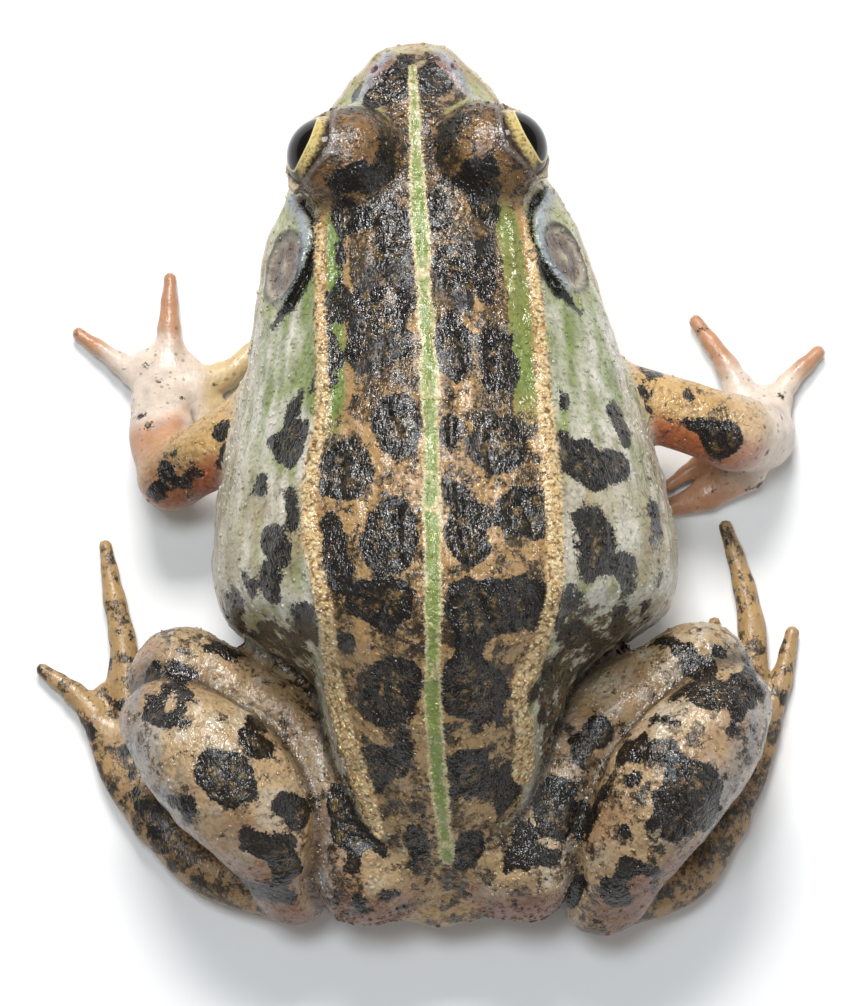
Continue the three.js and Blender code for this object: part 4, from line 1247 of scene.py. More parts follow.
    def _head(self, made: Array, points: Array, normals: Array) -> Array:
        """Ground colour of the head over that of the body behind it."""
        c = self.colours
        x, y, z = points.T
        over = z - self.head.mouth_height(y)
        front = ramp(y, -19.5, -22.5)
        top = mix(c.lid, c.snout, ramp(y, -28.5, -30.5))
        side_on = ramp(normals[:, 2], 0.86, 0.66) * ramp(z, 20.8, 19.4)
        head = mix(top, c.cheek, side_on)
        made = mix(made, head, front)
        made = mix(made, c.cheek, side_on * ramp(y, -12, -15) * (1 - front) * 0.7)
        tip = bell(np.hypot(x, y + 36.0), 1.3) * ramp(z, 12.5, 14)
        made = mix(made, c.snout_tip, tip)
        cheeks = ramp(y, -12.5, -15.5)
        made = mix(made, c.lip_line, bell(over - 2.1, 0.5) * cheeks * 0.85)
        made = mix(made, c.cream, ramp(over, 1.9, 1.2) * cheeks)
        for side in Side:
            nose = np.hypot(x - side.value * 3.0, y + 33.6)
            made = mix(made, c.nose, bell(nose, 1.5) * ramp(z, 15, 16.5))
            # painted highlights: blue-white lines along the edge from eye to nostril and along the fold over the ear
            made = mix(made, c.blue, bell(self.head.brow_distance(x, y, z, side), 0.6) * 0.9)
            fold, along = self.head.over_ear(x, y, z, self.head.ear_fold, side)
            made = mix(made, c.blue, bell(fold, 0.55) * ramp(along, 1.0, 0.75) * 0.9)
            made = self._ear(made, points, side)
            made = self._lids(made, points, side)
        return mix(made, c.belly, ramp(over, 0.2, -0.4) * ramp(y, -8, -14))

    def _ear(self, made: Array, points: Array, side: Side) -> Array:
        """The eardrum over the ground colour round it: grey brown in a pale ring, with a pale middle."""
        c = self.colours
        centre, out = self.head.eardrum_frame(side)
        radius = self.head.eardrum_radius
        span = points - centre
        level = span @ out
        spread = np.linalg.norm(span - level[:, None] * out, axis=1)
        on_disc = (np.abs(level) < 1.4) & (spread < 4)
        rays = noise(np.stack([np.arctan2(span[:, 2], span[:, 1]) * 4, spread, spread * 0], 1), (0.5, 3, 1), 94)
        disc = mix(c.eardrum, c.eardrum_rim, 0.25 + 0.3 * rays * ramp(spread, 0.3, 1.2))
        disc = mix(disc, c.ink, 0.5 * bell(spread - 1.3, 0.4))
        disc = mix(disc, c.cream, bell(spread, 0.45) * 0.8)
        made = mix(made, disc, ramp(spread, radius + 0.05, radius - 0.2) * on_disc)
        made = mix(made, c.ink, bell(spread - radius - 0.08, 0.24) * 0.85 * on_disc)
        return mix(made, c.eardrum_rim, bell(spread - radius + 0.4, 0.22) * 0.8 * on_disc)

    def _lids(self, made: Array, points: Array, side: Side) -> Array:
        """The edges of the lids: a blue-white painted highlight over a black line above the eye, and a pale lower lid.
        """
        c = self.colours
        away, ahead, lift = EyeFrame(side).angles(*points.T)
        close = ramp(away, 5.0, 4.4)
        edge = np.hypot(ahead / self.head.opening_front, lift / self.head.opening_up) - 1
        upper = close * ramp(lift, 5, 15)
        # painted highlight: a thin blue-white line along the rim of the upper lid
        made = mix(made, c.blue, bell(edge - 0.2, 0.06) * upper * 0.5)
        made = mix(made, c.ink, np.maximum(bell(edge - 0.05, 0.12), 0.7 * bell(edge - 0.36, 0.1)) * upper)
        return mix(made, c.lid_rim, ramp(away, 4.8, 4.4) * ramp(lift, 14, 2))

    def _arm(self, points: Array, normals: Array) -> Array:
        """Ground colour of the upper arms: golden in front, red orange behind, dark at the elbow, pale below."""
        c = self.colours
        x, y, _ = points.T
        made = mix(c.upper_arm, c.arm_rear, ramp(normals[:, 1], 0.1, 0.7))
        elbow = np.where(x > 0, bell(np.hypot(x - 21.6, y + 2.2), 2.2), 0)
        made = mix(made, c.elbow, elbow * 0.8)
        return mix(made, c.leg_under, ramp(normals[:, 2], -0.2, -0.7))

    def _hand(self, points: Array, normals: Array) -> Array:
        """Ground colour of forearms and hands, warmer at the finger tips, with painted shade on the right thumb."""
        c = self.colours
        x, y, _ = points.T
        made = mix(c.hand, c.finger, np.where(x > 0, ramp(x, 19.4, 17.6) * ramp(y, -17, -15), 0))
        top = ramp(normals[:, 2], -0.2, 0.5)
        left_tips = ramp(np.hypot(x - 23.5, y + 11.5), 3.4, 5.5) * ramp(x, 19.5, 20.5)
        # painted shade: the right thumb and the finger beside it take the orange-brown of skin in shade
        right_tips_and_shaded_thumb = np.maximum(ramp(np.hypot(x + 27.4, y + 6.0), 4.0, 7.0), ramp(x, -25.5, -23.6) * ramp(y, -6, -4))
        made = mix(made, c.finger_tip, np.where(x > 0, left_tips, right_tips_and_shaded_thumb) * 0.85 * top)
        streaks = noise(points, (0.7, 0.7, 2.2), 99)
        return mix(made, c.leg_side, np.clip(streaks, 0, 1) * 0.4 * ramp(points[:, 2], 1.6, 3.2))

    def _leg(self, points: Array, normals: Array) -> Array:
        """Ground colour of thighs and shanks: tan above, red brown behind, grey on the outer side, pale below."""
        c = self.colours
        x, y, _ = points.T
        made = mix(c.leg, c.whitish, 0.6 * np.clip(noise(points, (1.2, 1.2, 4), 95), 0, 1))
        made = mix(made, c.leg_front, np.clip(noise(points, 4.0, 96), 0, 1) * 0.8)
        outer = ramp(np.abs(normals[:, 0]) * np.sign(normals[:, 0] * x), 0.35, 0.7)
        streaks = 0.55 + 0.45 * noise(points, (0.6, 3.5, 0.6), 100)
        made = mix(made, c.leg_side, outer * np.clip(streaks, 0, 1) * ramp(y, 12, 15))
        made = mix(made, c.leg_rear, ramp(normals[:, 1], 0.45, 0.9) * ramp(y, 28, 32))
        return mix(made, c.leg_under, ramp(normals[:, 2], -0.25, -0.7))

    def _foot(self, points: Array, normals: Array) -> Array:
        """Ground colour of the feet, golden towards the toes and the web."""
        c = self.colours
        made = mix(c.foot, c.web, ramp(points[:, 1], 24, 17) * 0.7)
        return mix(made, c.leg_under, ramp(normals[:, 2], -0.3, -0.8))


@dataclass
class Skin:
    """The whole skin as one closed mesh, with its relief and its markings."""

    body: BodyForm = field(default_factory=BodyForm)
    head: Head = field(default_factory=Head)
    limbs: list[Limb] = field(default_factory=lambda: [left_arm(), right_arm(), left_leg(), right_leg()])
    shoulder: tuple = (15.0, -6.0, 9.5)
    hip: tuple = (7.0, 28.0, 9.0)
    clay: Solid | None = None
    torso: Solid | None = None

    def mould(self) -> None:
        """Blends body, head features and limbs into one solid that stands flat on the ground."""
        self.clay = Solid.empty((-36.5, -39, -1.5), (36.5, 39, 32))
        self.torso = self.body.solid()
        self.clay.join(self.torso, Weld((0, 0, 0), 0.1, 0.1, 1))
        self.head.shape(self.clay)
        for limb in self.limbs:
            (x, *beyond), softness = (
                (self.hip, (2.2, 0.45, 9.0)) if limb.webbed else (self.shoulder, (2.6, 0.25, 5.5))
            )
            self.clay.join(limb.solid(), Weld((limb.side.value * x, *beyond), *softness))
        _, _, z = self.clay.axes()
        self.clay.values = blend_max(self.clay.values, np.broadcast_to(-z, self.clay.values.shape), 0.25)

    def surface(self) -> tuple[Array, Array]:
        """The solid's surface: points in mm and the corners of its quads, outwards."""
        grid = vdb.FloatGrid(BAND)
        grid.copyFromArray(self.clay.values.astype(np.float32), ijk=tuple(int(i) for i in self.clay.start))
        grid.transform = vdb.createLinearTransform(voxelSize=VOXEL)
        points, quads = grid.convertToQuads(0.0)
        return points.astype(float), quads.astype(int)

    def shares(self, points: Array) -> dict[Zone, Array]:
        """How much each place on the skin belongs to each zone, adding up to one."""
        gaps = {Zone.BODY: np.minimum(self.torso.sample(points), 1.5)}
        for limb in self.limbs:
            for zone, solids in limb.zones.items():
                for solid in solids:
                    gaps[zone] = np.minimum(gaps.get(zone, np.full(len(points), BAND)), solid.sample(points))
        weights = {zone: np.exp(-np.clip(gap, -1.5, BAND) / 0.3) for zone, gap in gaps.items()}
        whole = sum(weights.values())
        return {zone: weight / whole for zone, weight in weights.items()}

    def make(self) -> bpy.types.Object:
        """The skin as a finished object, marked but without a material."""
        self.mould()
        points, quads = self.surface()
        rough = new_mesh("skin_rough", points, quads)
        normals = vertex_normals(rough)
        points += normals * Relief().height(points, normals, self.shares(points))[:, None]
        points[:, 2] = np.maximum(points[:, 2], 0)
        rough.vertices.foreach_set("co", (points * MM).ravel())
        rough.update()
        model = new_object("skin_model", rough)
        care = model.vertex_groups.new(name="plain")
        plain = np.round(self._plainness(points), 1)
        for level in np.unique(plain):
            care.add(np.flatnonzero(plain == level).tolist(), float(max(level, 0.02)), "REPLACE")
        fewer = model.modifiers.new("fewer", "DECIMATE")
        fewer.ratio = SKIN_TRIANGLES / (2 * len(quads))
        fewer.vertex_group = "plain"
        fewer.vertex_group_factor = 0.5
        mesh = bpy.data.meshes.new_from_object(model.evaluated_get(bpy.context.evaluated_depsgraph_get()))
        bpy.data.objects.remove(model)
        bpy.data.meshes.remove(rough)
        mesh.name = "skin"
        skin = new_object("skin", mesh)
        mesh.shade_smooth()
        self.mark(mesh)
        return skin

    def _plainness(self, points: Array) -> Array:
        """0 where the skin has its finest shapes, 1 where it is plain enough to take large facets."""
        x, y, z = points.T
        face = ramp(y, -14, -18) * ramp(z, 9, 11)
        eyes = ramp(eye_distance(points), 6.0, 5.0)
        under = ramp(z, 5, 2) * (np.abs(x) < 14) * ramp(y, -34, -30)
        return np.clip(0.55 - 0.3 * face - 0.55 * eyes + 0.45 * under, 0, 1)

    def mark(self, mesh: bpy.types.Mesh) -> None:
        """Stores the pattern in the mesh, as values that the material reads by name."""
        points = np.empty(len(mesh.vertices) * 3, np.float32)
        mesh.vertices.foreach_get("co", points)
        points = points.reshape(-1, 3).astype(float) / MM
        made = Pattern().marks(points, vertex_normals(mesh), self.shares(points))
        store(mesh, made)


def new_mesh(name: str, points: Array, faces: Array) -> bpy.types.Mesh:
    """A mesh in metres from points in mm."""
    mesh = bpy.data.meshes.new(name)
    mesh.from_pydata(points * MM, [], faces.tolist())
    mesh.update()
    return mesh


def new_object(name: str, mesh: bpy.types.Mesh) -> bpy.types.Object:
    """An object at the origin that holds a mesh, in the scene."""
    made = bpy.data.objects.new(name, mesh)
    bpy.context.scene.collection.objects.link(made)
    return made


def vertex_normals(mesh: bpy.types.Mesh) -> Array:
    """N x 3 directions that the mesh's corners face."""
    normals = np.empty(len(mesh.vertices) * 3, np.float32)
    mesh.vertex_normals.foreach_get("vector", normals)
    return normals.reshape(-1, 3).astype(float)


def store(mesh: bpy.types.Mesh, values: dict[str, Array]) -> None:
    """Gives a mesh named values at its corners: a number each, or a colour each."""
    for name, made in values.items():
        if made.ndim == 2:
            attribute = mesh.attributes.new(name, "FLOAT_COLOR", "POINT")
            rgba = np.concatenate([np.clip(made, 0, 1), np.ones((len(made), 1))], 1)
            attribute.data.foreach_set("color", rgba.astype(np.float32).ravel())
        else:
            attribute = mesh.attributes.new(name, "FLOAT", "POINT")
            attribute.data.foreach_set("value", made.astype(np.float32))


# ---- Materials ----

Socket = bpy.types.NodeSocket


class Graph:
    """A node tree being wired: each call adds a node and gives back its output."""

    def __init__(self, tree: bpy.types.NodeTree) -> None:
        """Starts on a tree."""
        self.tree = tree

    def add(self, kind: str, inputs: dict | None = None, **settings: object) -> bpy.types.Node:
        """A node with its settings, and its inputs set or linked.

        Args:
            kind: The node's type name.
            inputs: Input name or number, to a value or the output to link.
            settings: The node's own properties.

        Returns:
            The node.
        """
        node = self.tree.nodes.new(kind)
        for name, value in settings.items():
            setattr(node, name, value)
        for key, value in (inputs or {}).items():
            if isinstance(value, Socket):
                self.tree.links.new(value, node.inputs[key])
            else:
                node.inputs[key].default_value = value
        return node

    def math(self, operation: str, *values: float | Socket, clamp: bool = False) -> Socket:
        """Arithmetic on numbers."""
        node = self.add("ShaderNodeMath", dict(enumerate(values)), operation=operation, use_clamp=clamp)
        return node.outputs[0]

    def plus(self, a: float | Socket, b: float | Socket) -> Socket:
        """The sum of two numbers."""
        return self.math("ADD", a, b)

    def times(self, a: float | Socket, b: float | Socket) -> Socket:
        """The product of two numbers."""
        return self.math("MULTIPLY", a, b)

    def scaled(self, value: Socket, factor: float | Socket, offset: float | Socket) -> Socket:
        """A number times a factor, plus an offset."""
        return self.math("MULTIPLY_ADD", value, factor, offset)

    def step(self, value: Socket, start: float | Socket, end: float | Socket) -> Socket:
        """A smooth step from 0 at start to 1 at end."""
        wiring = {"Value": value, "From Min": start, "From Max": end}
        return self.add("ShaderNodeMapRange", wiring, interpolation_type="SMOOTHSTEP").outputs[0]

    def mix(self, share: float | Socket, a: Colour | Socket, b: Colour | Socket, blend: str = "MIX") -> Socket:
        """Two colours mixed."""
        wiring = {0: share, 6: colour_value(a), 7: colour_value(b)}
        return self.add("ShaderNodeMix", wiring, data_type="RGBA", blend_type=blend).outputs[2]

    def attribute(self, name: str, output: str = "Fac") -> Socket:
        """One of the mesh's named values."""
        return self.add("ShaderNodeAttribute", attribute_name=name).outputs[output]

    def place(self) -> Socket:
        """Where a point is on the object, in mm."""
        coordinates = self.add("ShaderNodeTexCoord").outputs["Object"]
        return self.add("ShaderNodeVectorMath", {0: coordinates, "Scale": 1 / MM}, operation="SCALE").outputs[0]

    def cloud(self, place: Socket, scale: float | Socket, detail: float = 2.0, rough: float = 0.5) -> Socket:
        """Soft random values about 0.5, with scale patches in a unit of place."""
        wiring = {"Vector": place, "Scale": scale, "Detail": detail, "Roughness": rough}
        return self.add("ShaderNodeTexNoise", wiring).outputs["Fac"]


def colour_value(value: Colour | Socket) -> Socket | tuple:
    """A colour as a node's input takes it."""
    return value if isinstance(value, Socket) else (*value, 1.0)


class Effect:
    """A shader node group that more than one material uses."""

    def __init__(self, name: str, inputs: dict[str, object], outputs: tuple[str, ...]) -> None:
        """Starts a group with named inputs, each with its value, and named number outputs."""
        self.tree = bpy.data.node_groups.new(name, "ShaderNodeTree")
        self.graph = Graph(self.tree)
        for key, value in inputs.items():
            kind = "NodeSocketVector" if isinstance(value, tuple) else "NodeSocketFloat"
            self.tree.interface.new_socket(key, in_out="INPUT", socket_type=kind).default_value = value
        for key in outputs:
            self.tree.interface.new_socket(key, in_out="OUTPUT", socket_type="NodeSocketFloat")
        self.inputs = self.tree.nodes.new("NodeGroupInput").outputs
        self.end = self.tree.nodes.new("NodeGroupOutput")

    def out(self, name: str, value: Socket) -> None:
        """Wires one of the group's outputs."""
        self.tree.links.new(value, self.end.inputs[name])

    def use(self, graph: Graph, **values: object) -> dict[str, Socket]:
        """Places the group in a material, with values for its inputs, and gives back its outputs."""
        node = graph.add("ShaderNodeGroup", values, node_tree=self.tree)
        return {output.name: output for output in node.outputs}


def broken_edge() -> Effect:
    """A mask inside a marking, whose edge wanders and breaks into grains."""
    made = Effect(
        "broken_edge",
        {"Place": (0, 0, 0), "Distance": 0.0, "Wander": 0.3, "Grain": 0.12, "Softness": 0.08},
        ("Mask", "Depth"),
    )
    g, i = made.graph, made.inputs
    slow = g.times(g.math("SUBTRACT", g.cloud(i["Place"], 0.9, 3.0, 0.6), 0.5), i["Wander"])
    fine = g.times(g.math("SUBTRACT", g.cloud(i["Place"], 4.5, 2.0, 0.6), 0.5), i["Grain"])
    gap = g.plus(g.plus(i["Distance"], g.times(slow, 2.0)), g.times(fine, 2.0))
    made.out("Mask", g.step(gap, i["Softness"], g.times(i["Softness"], -1.0)))
    made.out("Depth", g.times(gap, -1.0))
    return made


def granules() -> Effect:
    """A skin of small uneven grains: their height, and the crevices between them."""
    made = Effect("granules", {"Place": (0, 0, 0), "Scale": 2.4, "Variety": 0.5}, ("Height", "Crevice"))
    g, i = made.graph, made.inputs
    bend = g.add("ShaderNodeTexNoise", {"Vector": i["Place"], "Scale": 1.6, "Detail": 2.0}).outputs["Color"]
    bent = g.add("ShaderNodeVectorMath", {0: bend, 1: (0.35,) * 3, 2: i["Place"]}, operation="MULTIPLY_ADD").outputs[0]
    big = g.add("ShaderNodeTexVoronoi", {"Vector": bent, "Scale": i["Scale"]}, feature="SMOOTH_F1").outputs["Distance"]
    small_scale = g.times(i["Scale"], 2.3)
    small = g.add("ShaderNodeTexVoronoi", {"Vector": bent, "Scale": small_scale}, feature="F1").outputs["Distance"]
    dome, crumb = (
        g.math("SUBTRACT", 1.0, g.times(g.math("POWER", gap, 2.0), 1.6), clamp=True) for gap in (big, small)
    )
    uneven = g.times(g.cloud(i["Place"], 0.8, 2.0), i["Variety"])
    height = g.plus(g.times(dome, 0.65), g.times(crumb, 0.35))
    made.out("Height", g.times(height, g.plus(uneven, 0.6)))
    made.out("Crevice", g.step(dome, 0.75, 0.3))
    return made


def specks() -> Effect:
    """Small scattered dots."""
    made = Effect("specks", {"Place": (0, 0, 0), "Scale": 2.0, "Size": 0.3, "Share": 0.5}, ("Mask",))
    g, i = made.graph, made.inputs
    cells = g.add("ShaderNodeTexVoronoi", {"Vector": i["Place"], "Scale": i["Scale"]}, feature="F1")
    draw = g.add("ShaderNodeSeparateColor", {0: cells.outputs["Color"]})
    size = g.times(i["Size"], g.plus(draw.outputs[1], 0.4))
    dot = g.step(cells.outputs["Distance"], size, g.times(size, 0.6))
    made.out("Mask", g.times(dot, g.math("LESS_THAN", draw.outputs[0], i["Share"])))
    return made


@dataclass(frozen=True)
class SkinFinish:
    """Moist granular skin, with dark marks, a green stripe and golden folds over its ground colour."""

    dark: Colour = tone(16, 13, 11)
    olive: Colour = tone(46, 44, 28)
    brown: Colour = tone(32, 24, 15)
    lime: Colour = tone(134, 152, 82)
    straw: Colour = tone(226, 208, 164)
    gold: Colour = tone(198, 160, 108)
    fleck: Colour = tone(140, 110, 70)
    bump_depth: float = 0.00006
    coat: float = 0.1
    coat_roughness: float = 0.12
    dry: float = 0.42
    wet: float = 0.12

    def make(self, edge: Effect, grains: Effect, dots: Effect) -> bpy.types.Material:
        """The material, from the effects that it shares."""
        material, g, shader = new_material("moist_skin", {
            "Coat Roughness": self.coat_roughness, "Subsurface Weight": 0.08, "Subsurface Scale": 0.0008, "IOR": 1.56,
        })
        place = g.place()
        spot = edge.use(g, Place=place, Distance=g.attribute("spot"), Wander=0.42, Grain=0.4, Softness=0.1)
        stripe = edge.use(g, Place=place, Distance=g.attribute("stripe"), Wander=0.25, Grain=0.4, Softness=0.12)
        fold = edge.use(g, Place=place, Distance=g.attribute("fold"), Wander=0.25, Grain=0.4, Softness=0.15)
        grain = grains.use(g, Place=place, Scale=3.1)
        fine = g.attribute("fine")
        ground = g.attribute("ground", "Color")
        cloud = g.cloud(place, 0.55, 4.0, 0.65)
        crumbs = g.step(g.cloud(place, 2.4, 3.0, 0.7), 0.42, 0.62)
        shade = g.mix(1.0, ground, g.mix(cloud, tone(176, 170, 160), tone(255, 255, 252)), "MULTIPLY")
        # painted shade: the colour darkens to brown in the crevices between the grains
        shade = g.mix(g.times(grain["Crevice"], g.scaled(fine, -0.25, 0.3)), shade, self.brown)
        mottle = self._mottle(g, place)
        granular = g.times(crumbs, g.step(cloud, 0.4, 0.62))
        shade = g.mix(g.times(mottle, 0.94), shade, g.mix(granular, self.brown, self.fleck))
        peppered = dots.use(g, Place=place, Scale=1.7, Size=0.3, Share=0.4)["Mask"]
        shade = g.mix(g.times(peppered, 0.45), shade, tone(64, 48, 34))
        inner = g.times(g.step(spot["Depth"], 0.2, 1.5), g.step(g.cloud(place, 1.1, 4.0, 0.7), 0.46, 0.64))
        blotch = g.mix(inner, self.dark, g.mix(crumbs, self.olive, self.fleck))
        # the blotch colour also paints the shade in the ear creases
        shade = g.mix(g.times(spot["Mask"], 0.98), shade, blotch)
        # painted shade: the fold's golden colour darkens in the crevices between its grains
        golden = g.mix(g.times(grain["Crevice"], 0.8), g.mix(crumbs, self.gold, self.straw), tone(96, 64, 38))
        shade = g.mix(g.times(fold["Mask"], 0.94), shade, golden)
        middle = g.step(g.plus(stripe["Depth"], g.cloud(place, 2.2, 4.0, 0.75)), 0.9, 0.5)
        line = g.mix(g.math("MAXIMUM", middle, g.step(cloud, 0.56, 0.68)), self.lime, self.straw)
        line = g.mix(g.times(g.math("SUBTRACT", 1.0, crumbs), 0.3), line, tone(96, 92, 46))
        shade = g.mix(g.times(stripe["Mask"], 0.95), shade, line)
        g.tree.links.new(shade, shader.inputs["Base Color"])
        film = g.times(g.step(g.cloud(place, 0.3, 3.0, 0.6), 0.3, 0.52), g.attribute("moist"))
        rough = g.scaled(film, self.wet - self.dry, self.dry)
        g.tree.links.new(g.scaled(fine, 0.1, rough), shader.inputs["Roughness"])
        g.tree.links.new(g.times(film, self.coat), shader.inputs["Coat Weight"])
        dark_mask = g.math("MAXIMUM", spot["Mask"], mottle)
        wrinkle = g.times(self._wrinkles(g, place), g.scaled(dark_mask, 0.6, 0.3))
        height = g.times(grain["Height"], g.scaled(fine, -0.6, 0.8))
        height = g.plus(height, g.times(wrinkle, 0.75))
        swell = g.times(g.cloud(place, 1.7, 1.0), g.scaled(fine, -1.5, 2.6))
        height = g.plus(height, swell)
        bump = g.add("ShaderNodeBump", {"Height": height, "Distance": self.bump_depth, "Strength": 1.0})
        g.tree.links.new(bump.outputs[0], shader.inputs["Normal"])
        return material

    def _mottle(self, g: Graph, place: Socket) -> Socket:
        """A mask of ragged dark patches, which cover as much of the skin as its dusk value says."""
        limit = g.scaled(g.attribute("dusk"), -0.42, 0.71)
        return g.step(g.cloud(place, 0.62, 5.0, 0.75), g.math("SUBTRACT", limit, 0.04), g.plus(limit, 0.04))

    def _wrinkles(self, g: Graph, place: Socket) -> Socket:
        """Fine wrinkles along the body, as a height from 0 to 1."""
        stretched = g.add("ShaderNodeVectorMath", {0: place, 1: (2.6, 1.1, 2.6)}, operation="MULTIPLY").outputs[0]
        wave = g.math("ABSOLUTE", g.scaled(g.cloud(stretched, 1.0, 2.0, 0.55), 2.0, -1.0))
        return g.math("SUBTRACT", 1.0, g.times(wave, 2.6), clamp=True)


@dataclass(frozen=True)
class Granules:
    """Small domes of skin, which stand thickly along the folds and thinly on lids, back and legs."""

    values: dict[str, float] = field(
        default_factory=lambda: {"Spacing": 0.26 * MM, "Density": 8 / MM**2, "Radius": 0.19 * MM, "Seed": 7}
    )

    def tree(self) -> bpy.types.NodeTree:
        """Strews domes over a surface by its granular value, and makes them real."""
        tree = bpy.data.node_groups.new("granules", "GeometryNodeTree")
        kinds = {
            "Geometry": "Geometry", "Spacing": "Float", "Density": "Float", "Radius": "Float", "Seed": "Int",
            "Material": "Material",
        }
        for name, kind in kinds.items():
            tree.interface.new_socket(name, in_out="INPUT", socket_type=f"NodeSocket{kind}")
        tree.interface.new_socket("Geometry", in_out="OUTPUT", socket_type="NodeSocketGeometry")
        g = Graph(tree)
        i = tree.nodes.new("NodeGroupInput").outputs
        thick = g.add("GeometryNodeInputNamedAttribute", {"Name": "granular"}, data_type="FLOAT").outputs["Attribute"]
        strewn = g.add(
            "GeometryNodeDistributePointsOnFaces",
            {
                "Mesh": i["Geometry"], "Distance Min": i["Spacing"], "Density Max": i["Density"],
                "Density Factor": thick, "Seed": i["Seed"],
            },
            distribute_method="POISSON",
        ).outputs
        dome = g.add("GeometryNodeMeshIcoSphere", {"Radius": i["Radius"], "Subdivisions": 2}).outputs["Mesh"]
        size = g.add(
            "FunctionNodeRandomValue",
            {0: (0.55, 0.55, 0.35), 1: (1.25, 1.25, 0.75), "Seed": i["Seed"]},
            data_type="FLOAT_VECTOR",
        ).outputs[0]
        wiring = {"Points": strewn["Points"], "Instance": dome, "Rotation": strewn["Rotation"], "Scale": size}
        copies = g.add("GeometryNodeInstanceOnPoints", wiring).outputs[0]
        real = g.add("GeometryNodeRealizeInstances", {"Geometry": copies}).outputs[0]
        smooth = g.add("GeometryNodeSetShadeSmooth", {"Geometry": real}).outputs[0]
        made = g.add("GeometryNodeSetMaterial", {"Geometry": smooth, "Material": i["Material"]}).outputs[0]
        tree.links.new(made, tree.nodes.new("NodeGroupOutput").inputs[0])
        return tree

    def make(self, skin: bpy.types.Object) -> bpy.types.Object:
        """The domes on a finished skin, as one object of their own with the skin's material."""
        strew = skin.modifiers.new("granules", "NODES")
        strew.node_group = self.tree()
        values = self.values | {"Material": skin.data.materials[0]}
        for item in strew.node_group.interface.items_tree:
            if item.in_out == "INPUT" and item.name in values:
                strew[item.identifier] = values[item.name]
        mesh = bpy.data.meshes.new_from_object(skin.evaluated_get(bpy.context.evaluated_depsgraph_get()))
        skin.modifiers.remove(strew)
        mesh.name = "granules"
        return new_object("granules", mesh)


def new_material(name: str, settings: dict[str, object]) -> tuple[bpy.types.Material, Graph, bpy.types.Node]:
    """A material, the graph to wire it with, and its shader with some of its inputs set."""
    material = bpy.data.materials.new(name)
    material.use_nodes = True
    shader = next(node for node in material.node_tree.nodes if node.type == "BSDF_PRINCIPLED")
    for key, value in settings.items():
        shader.inputs[key].default_value = value
    return material, Graph(material.node_tree), shader


# ---- Eyes ----


@dataclass(frozen=True)
class EyeFinish:
    """A wet eye: a black oval pupil in a gold iris with dark specks, and painted shade where the iris runs under the
    lids.
    """

    pupil_wide: float = 42.0
    pupil_high: float = 28.0
    black: Colour = tone(14, 11, 10)
    gold: Colour = tone(186, 154, 88)
    brown: Colour = tone(78, 56, 34)
    rim: Colour = tone(206, 192, 134)

    def make(self, edge: Effect, grains: Effect, dots: Effect) -> bpy.types.Material:
        """The material, from the effects that it shares."""
        material, g, shader = new_material("wet_eye", {
            "Coat Weight": 1.0, "Coat Roughness": 0.03, "Coat IOR": 1.25, "Specular IOR Level": 0.1,
        })
        place = g.place()
        pupil = g.attribute("pupil")
        hole = edge.use(g, Place=place, Distance=pupil, Wander=0.03, Grain=0.02, Softness=0.03)
        ring = g.step(g.math("ABSOLUTE", g.math("SUBTRACT", pupil, 0.08)), 0.09, 0.03)
        grain = grains.use(g, Place=place, Scale=4.5)
        speck = dots.use(g, Place=place, Scale=3.4, Size=0.42, Share=0.6)["Mask"]
        iris = g.mix(g.cloud(place, 1.5, 3.0, 0.6), self.gold, self.rim)
        # painted shade: the iris darkens, with a jagged edge, towards the lids that shade it
        outer = g.step(g.plus(pupil, g.cloud(place, 3.0, 3.0, 0.6)), 1.05, 1.75)
        iris = g.mix(outer, iris, tone(34, 28, 22))
        iris = g.mix(g.times(speck, 0.6), iris, self.brown)
        iris = g.mix(g.times(grain["Crevice"], 0.5), iris, self.brown)
        iris = g.mix(g.attribute("low"), iris, tone(120, 104, 76))
        iris = g.mix(g.attribute("bar"), iris, tone(52, 34, 26))
        iris = g.mix(ring, iris, self.rim)
        shade = g.mix(hole["Mask"], iris, self.black)
        g.tree.links.new(shade, shader.inputs["Base Color"])
        rough = g.math("SUBTRACT", 0.5, g.times(hole["Mask"], 0.3))
        g.tree.links.new(rough, shader.inputs["Roughness"])
        return material


@dataclass(frozen=True)
class Eyeball:
    """One eyeball, with the clear front swelling a little over pupil and iris."""

    side: Side
    swell: float = 0.12
    rings: int = 72
    sides: int = 96
    finish: EyeFinish = field(default_factory=EyeFinish)

    def make(self) -> bpy.types.Object:
        """The eyeball as a finished object, marked but without a material."""
        eye = EyeFrame(self.side)
        gaze, front, lift = eye.axes
        polar = np.linspace(0, math.pi, self.rings + 2)[1:-1]
        around = np.linspace(0, 2 * math.pi, self.sides, endpoint=False)
        radius = eye.radius + self.swell * bell(polar, math.radians(38))
        across = (np.cos(around)[:, None] * front + np.sin(around)[:, None] * lift) * self.side.value
        rings = (
            eye.centre
            + gaze * (np.cos(polar) * radius)[:, None, None]
            + across[None] * (np.sin(polar) * radius)[:, None, None]
        )
        ends = eye.centre + gaze * (eye.radius + self.swell), eye.centre - gaze * eye.radius
        points, faces = loft(rings, *ends)
        mesh = new_mesh(f"eye_{self.side.word}", points, outward(points, faces))
        mesh.shade_smooth()
        _, ahead, up = eye.angles(*points.T)
        gauge = np.sqrt((ahead / self.finish.pupil_wide) ** 2 + (up / self.finish.pupil_high) ** 2)
        store(mesh, {
            "pupil": (gauge - 1) * 1.6,
            "low": ramp(up, -8, -34) * 0.7,
            "bar": ramp(-ahead, 38, 44) * ramp(up, 30, 10) * 0.95,
        })
        return new_object(f"eyeball_{self.side.word}", mesh)


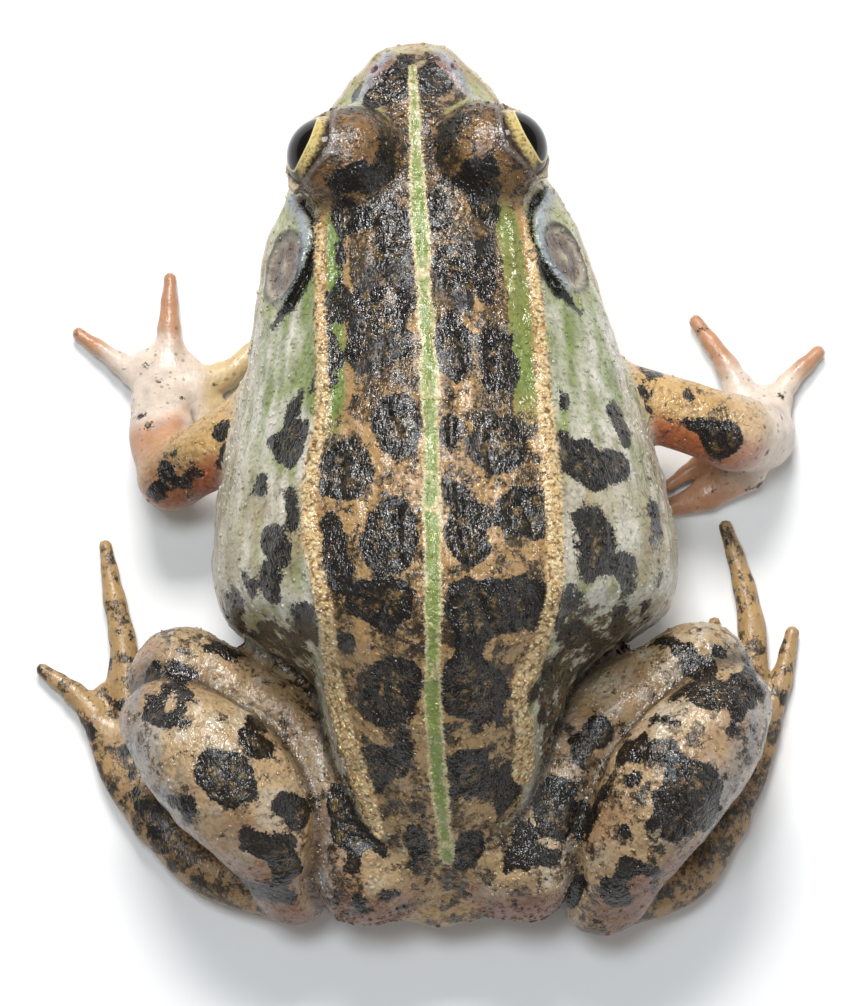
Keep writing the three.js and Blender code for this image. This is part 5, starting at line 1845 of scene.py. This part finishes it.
def outward(points: Array, faces: Array) -> Array:
    """The triangles of a closed surface, turned to face outwards."""
    corners = points[faces]
    volume = np.einsum("ij,ij->i", corners[:, 0], np.cross(corners[:, 1], corners[:, 2])).sum()
    return faces if volume > 0 else faces[:, ::-1]


# ---- The studio ----


@dataclass(frozen=True)
class Studio:
    """A pale floor, soft lights and the camera above the frog."""

    tilt: float = 10.0
    roll: float = 2.1
    lens: float = 200.0
    sensor: float = 36.0
    distance: float = 0.452
    target: tuple = (0.0, 0.0018, 0.014)
    floor_half: float = 1.2
    floor_drop: float = 0.00005

    def make(self) -> None:
        """Sets up everything round the frog."""
        self._camera()
        self._floor()
        self._light("key", (0.02, -0.40, 0.48), (0.22, 0.16), 3.5, (1.0, 0.98, 0.96))
        self._light("overhead", (0.10, -0.06, 0.75), (0.2, 0.2), 2.5, (0.88, 0.95, 1.0))
        self._light("fill", (-0.5, 0.2, 0.35), (0.5, 0.4), 0.7, (0.95, 0.98, 1.0))
        world = bpy.data.worlds.new("studio")
        world.use_nodes = True
        background = world.node_tree.nodes["Background"]
        background.inputs["Color"].default_value = (1.0, 1.0, 1.0, 1.0)
        background.inputs["Strength"].default_value = 0.2
        bpy.context.scene.world = world
        bpy.context.scene.view_settings.view_transform = "Standard"

    def _camera(self) -> None:
        """A long lens above the frog, leaning a little towards its rump."""
        tilt, roll = math.radians(self.tilt), math.radians(self.roll)
        back = Vector((0, math.sin(tilt), math.cos(tilt)))
        level_right, level_up = Vector((-1, 0, 0)), Vector((0, -math.cos(tilt), math.sin(tilt)))
        right = math.cos(roll) * level_right - math.sin(roll) * level_up
        up = math.sin(roll) * level_right + math.cos(roll) * level_up
        camera = bpy.data.cameras.new("camera")
        camera.lens, camera.sensor_width, camera.sensor_fit = self.lens, self.sensor, "AUTO"
        camera.clip_start, camera.clip_end = 0.01, 10
        holder = bpy.data.objects.new("camera", camera)
        turn = Matrix((right, up, back)).transposed().to_4x4()
        holder.matrix_world = Matrix.Translation(Vector(self.target) + back * self.distance) @ turn
        bpy.context.scene.collection.objects.link(holder)
        bpy.context.scene.camera = holder

    def _floor(self) -> None:
        """A plain pale floor just under the frog."""
        half = self.floor_half / MM
        corners = np.array([(-half, -half, 0), (half, -half, 0), (half, half, 0), (-half, half, 0)], float)
        corners[:, 2] = -self.floor_drop / MM
        floor = new_object("floor", new_mesh("floor", corners, np.array([[0, 1, 2, 3]])))
        material, _, _ = new_material("floor", {"Base Color": (*tone(238, 238, 238), 1), "Roughness": 0.8})
        floor.data.materials.append(material)

    def _light(self, name: str, place: tuple, size: tuple, power: float, colour: tuple) -> None:
        """One rectangular light that faces the frog."""
        lamp = bpy.data.lights.new(name, "AREA")
        lamp.shape, lamp.energy, lamp.color = "RECTANGLE", power, colour
        lamp.size, lamp.size_y = size
        holder = bpy.data.objects.new(name, lamp)
        holder.location = place
        holder.rotation_mode = "QUATERNION"
        holder.rotation_quaternion = (Vector((0, 0, 0.01)) - Vector(place)).to_track_quat("-Z", "Y")
        bpy.context.scene.collection.objects.link(holder)


def main() -> None:
    """Builds the frog and the studio round it."""
    logging.basicConfig(level=logging.INFO, format="%(message)s")
    edge, grains, dots = broken_edge(), granules(), specks()
    skin = Skin().make()
    skin.data.materials.append(SkinFinish().make(edge, grains, dots))
    domes = Granules().make(skin)
    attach(skin, "root")
    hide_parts(*[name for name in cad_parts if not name.startswith("eye_")])
    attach(domes, "root")
    for piece in (skin, domes):
        LOG.info("%s: %d faces", piece.name, len(piece.data.polygons))
    eye_finish = EyeFinish().make(edge, grains, dots)
    for side in Side:
        eye = Eyeball(side).make()
        eye.data.materials.append(eye_finish)
        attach(eye, "root")
        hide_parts(f"eye_{side.word}")
        LOG.info("%s: %d faces", eye.name, len(eye.data.polygons))
    Studio().make()


if __name__ == "__main__":
    main()
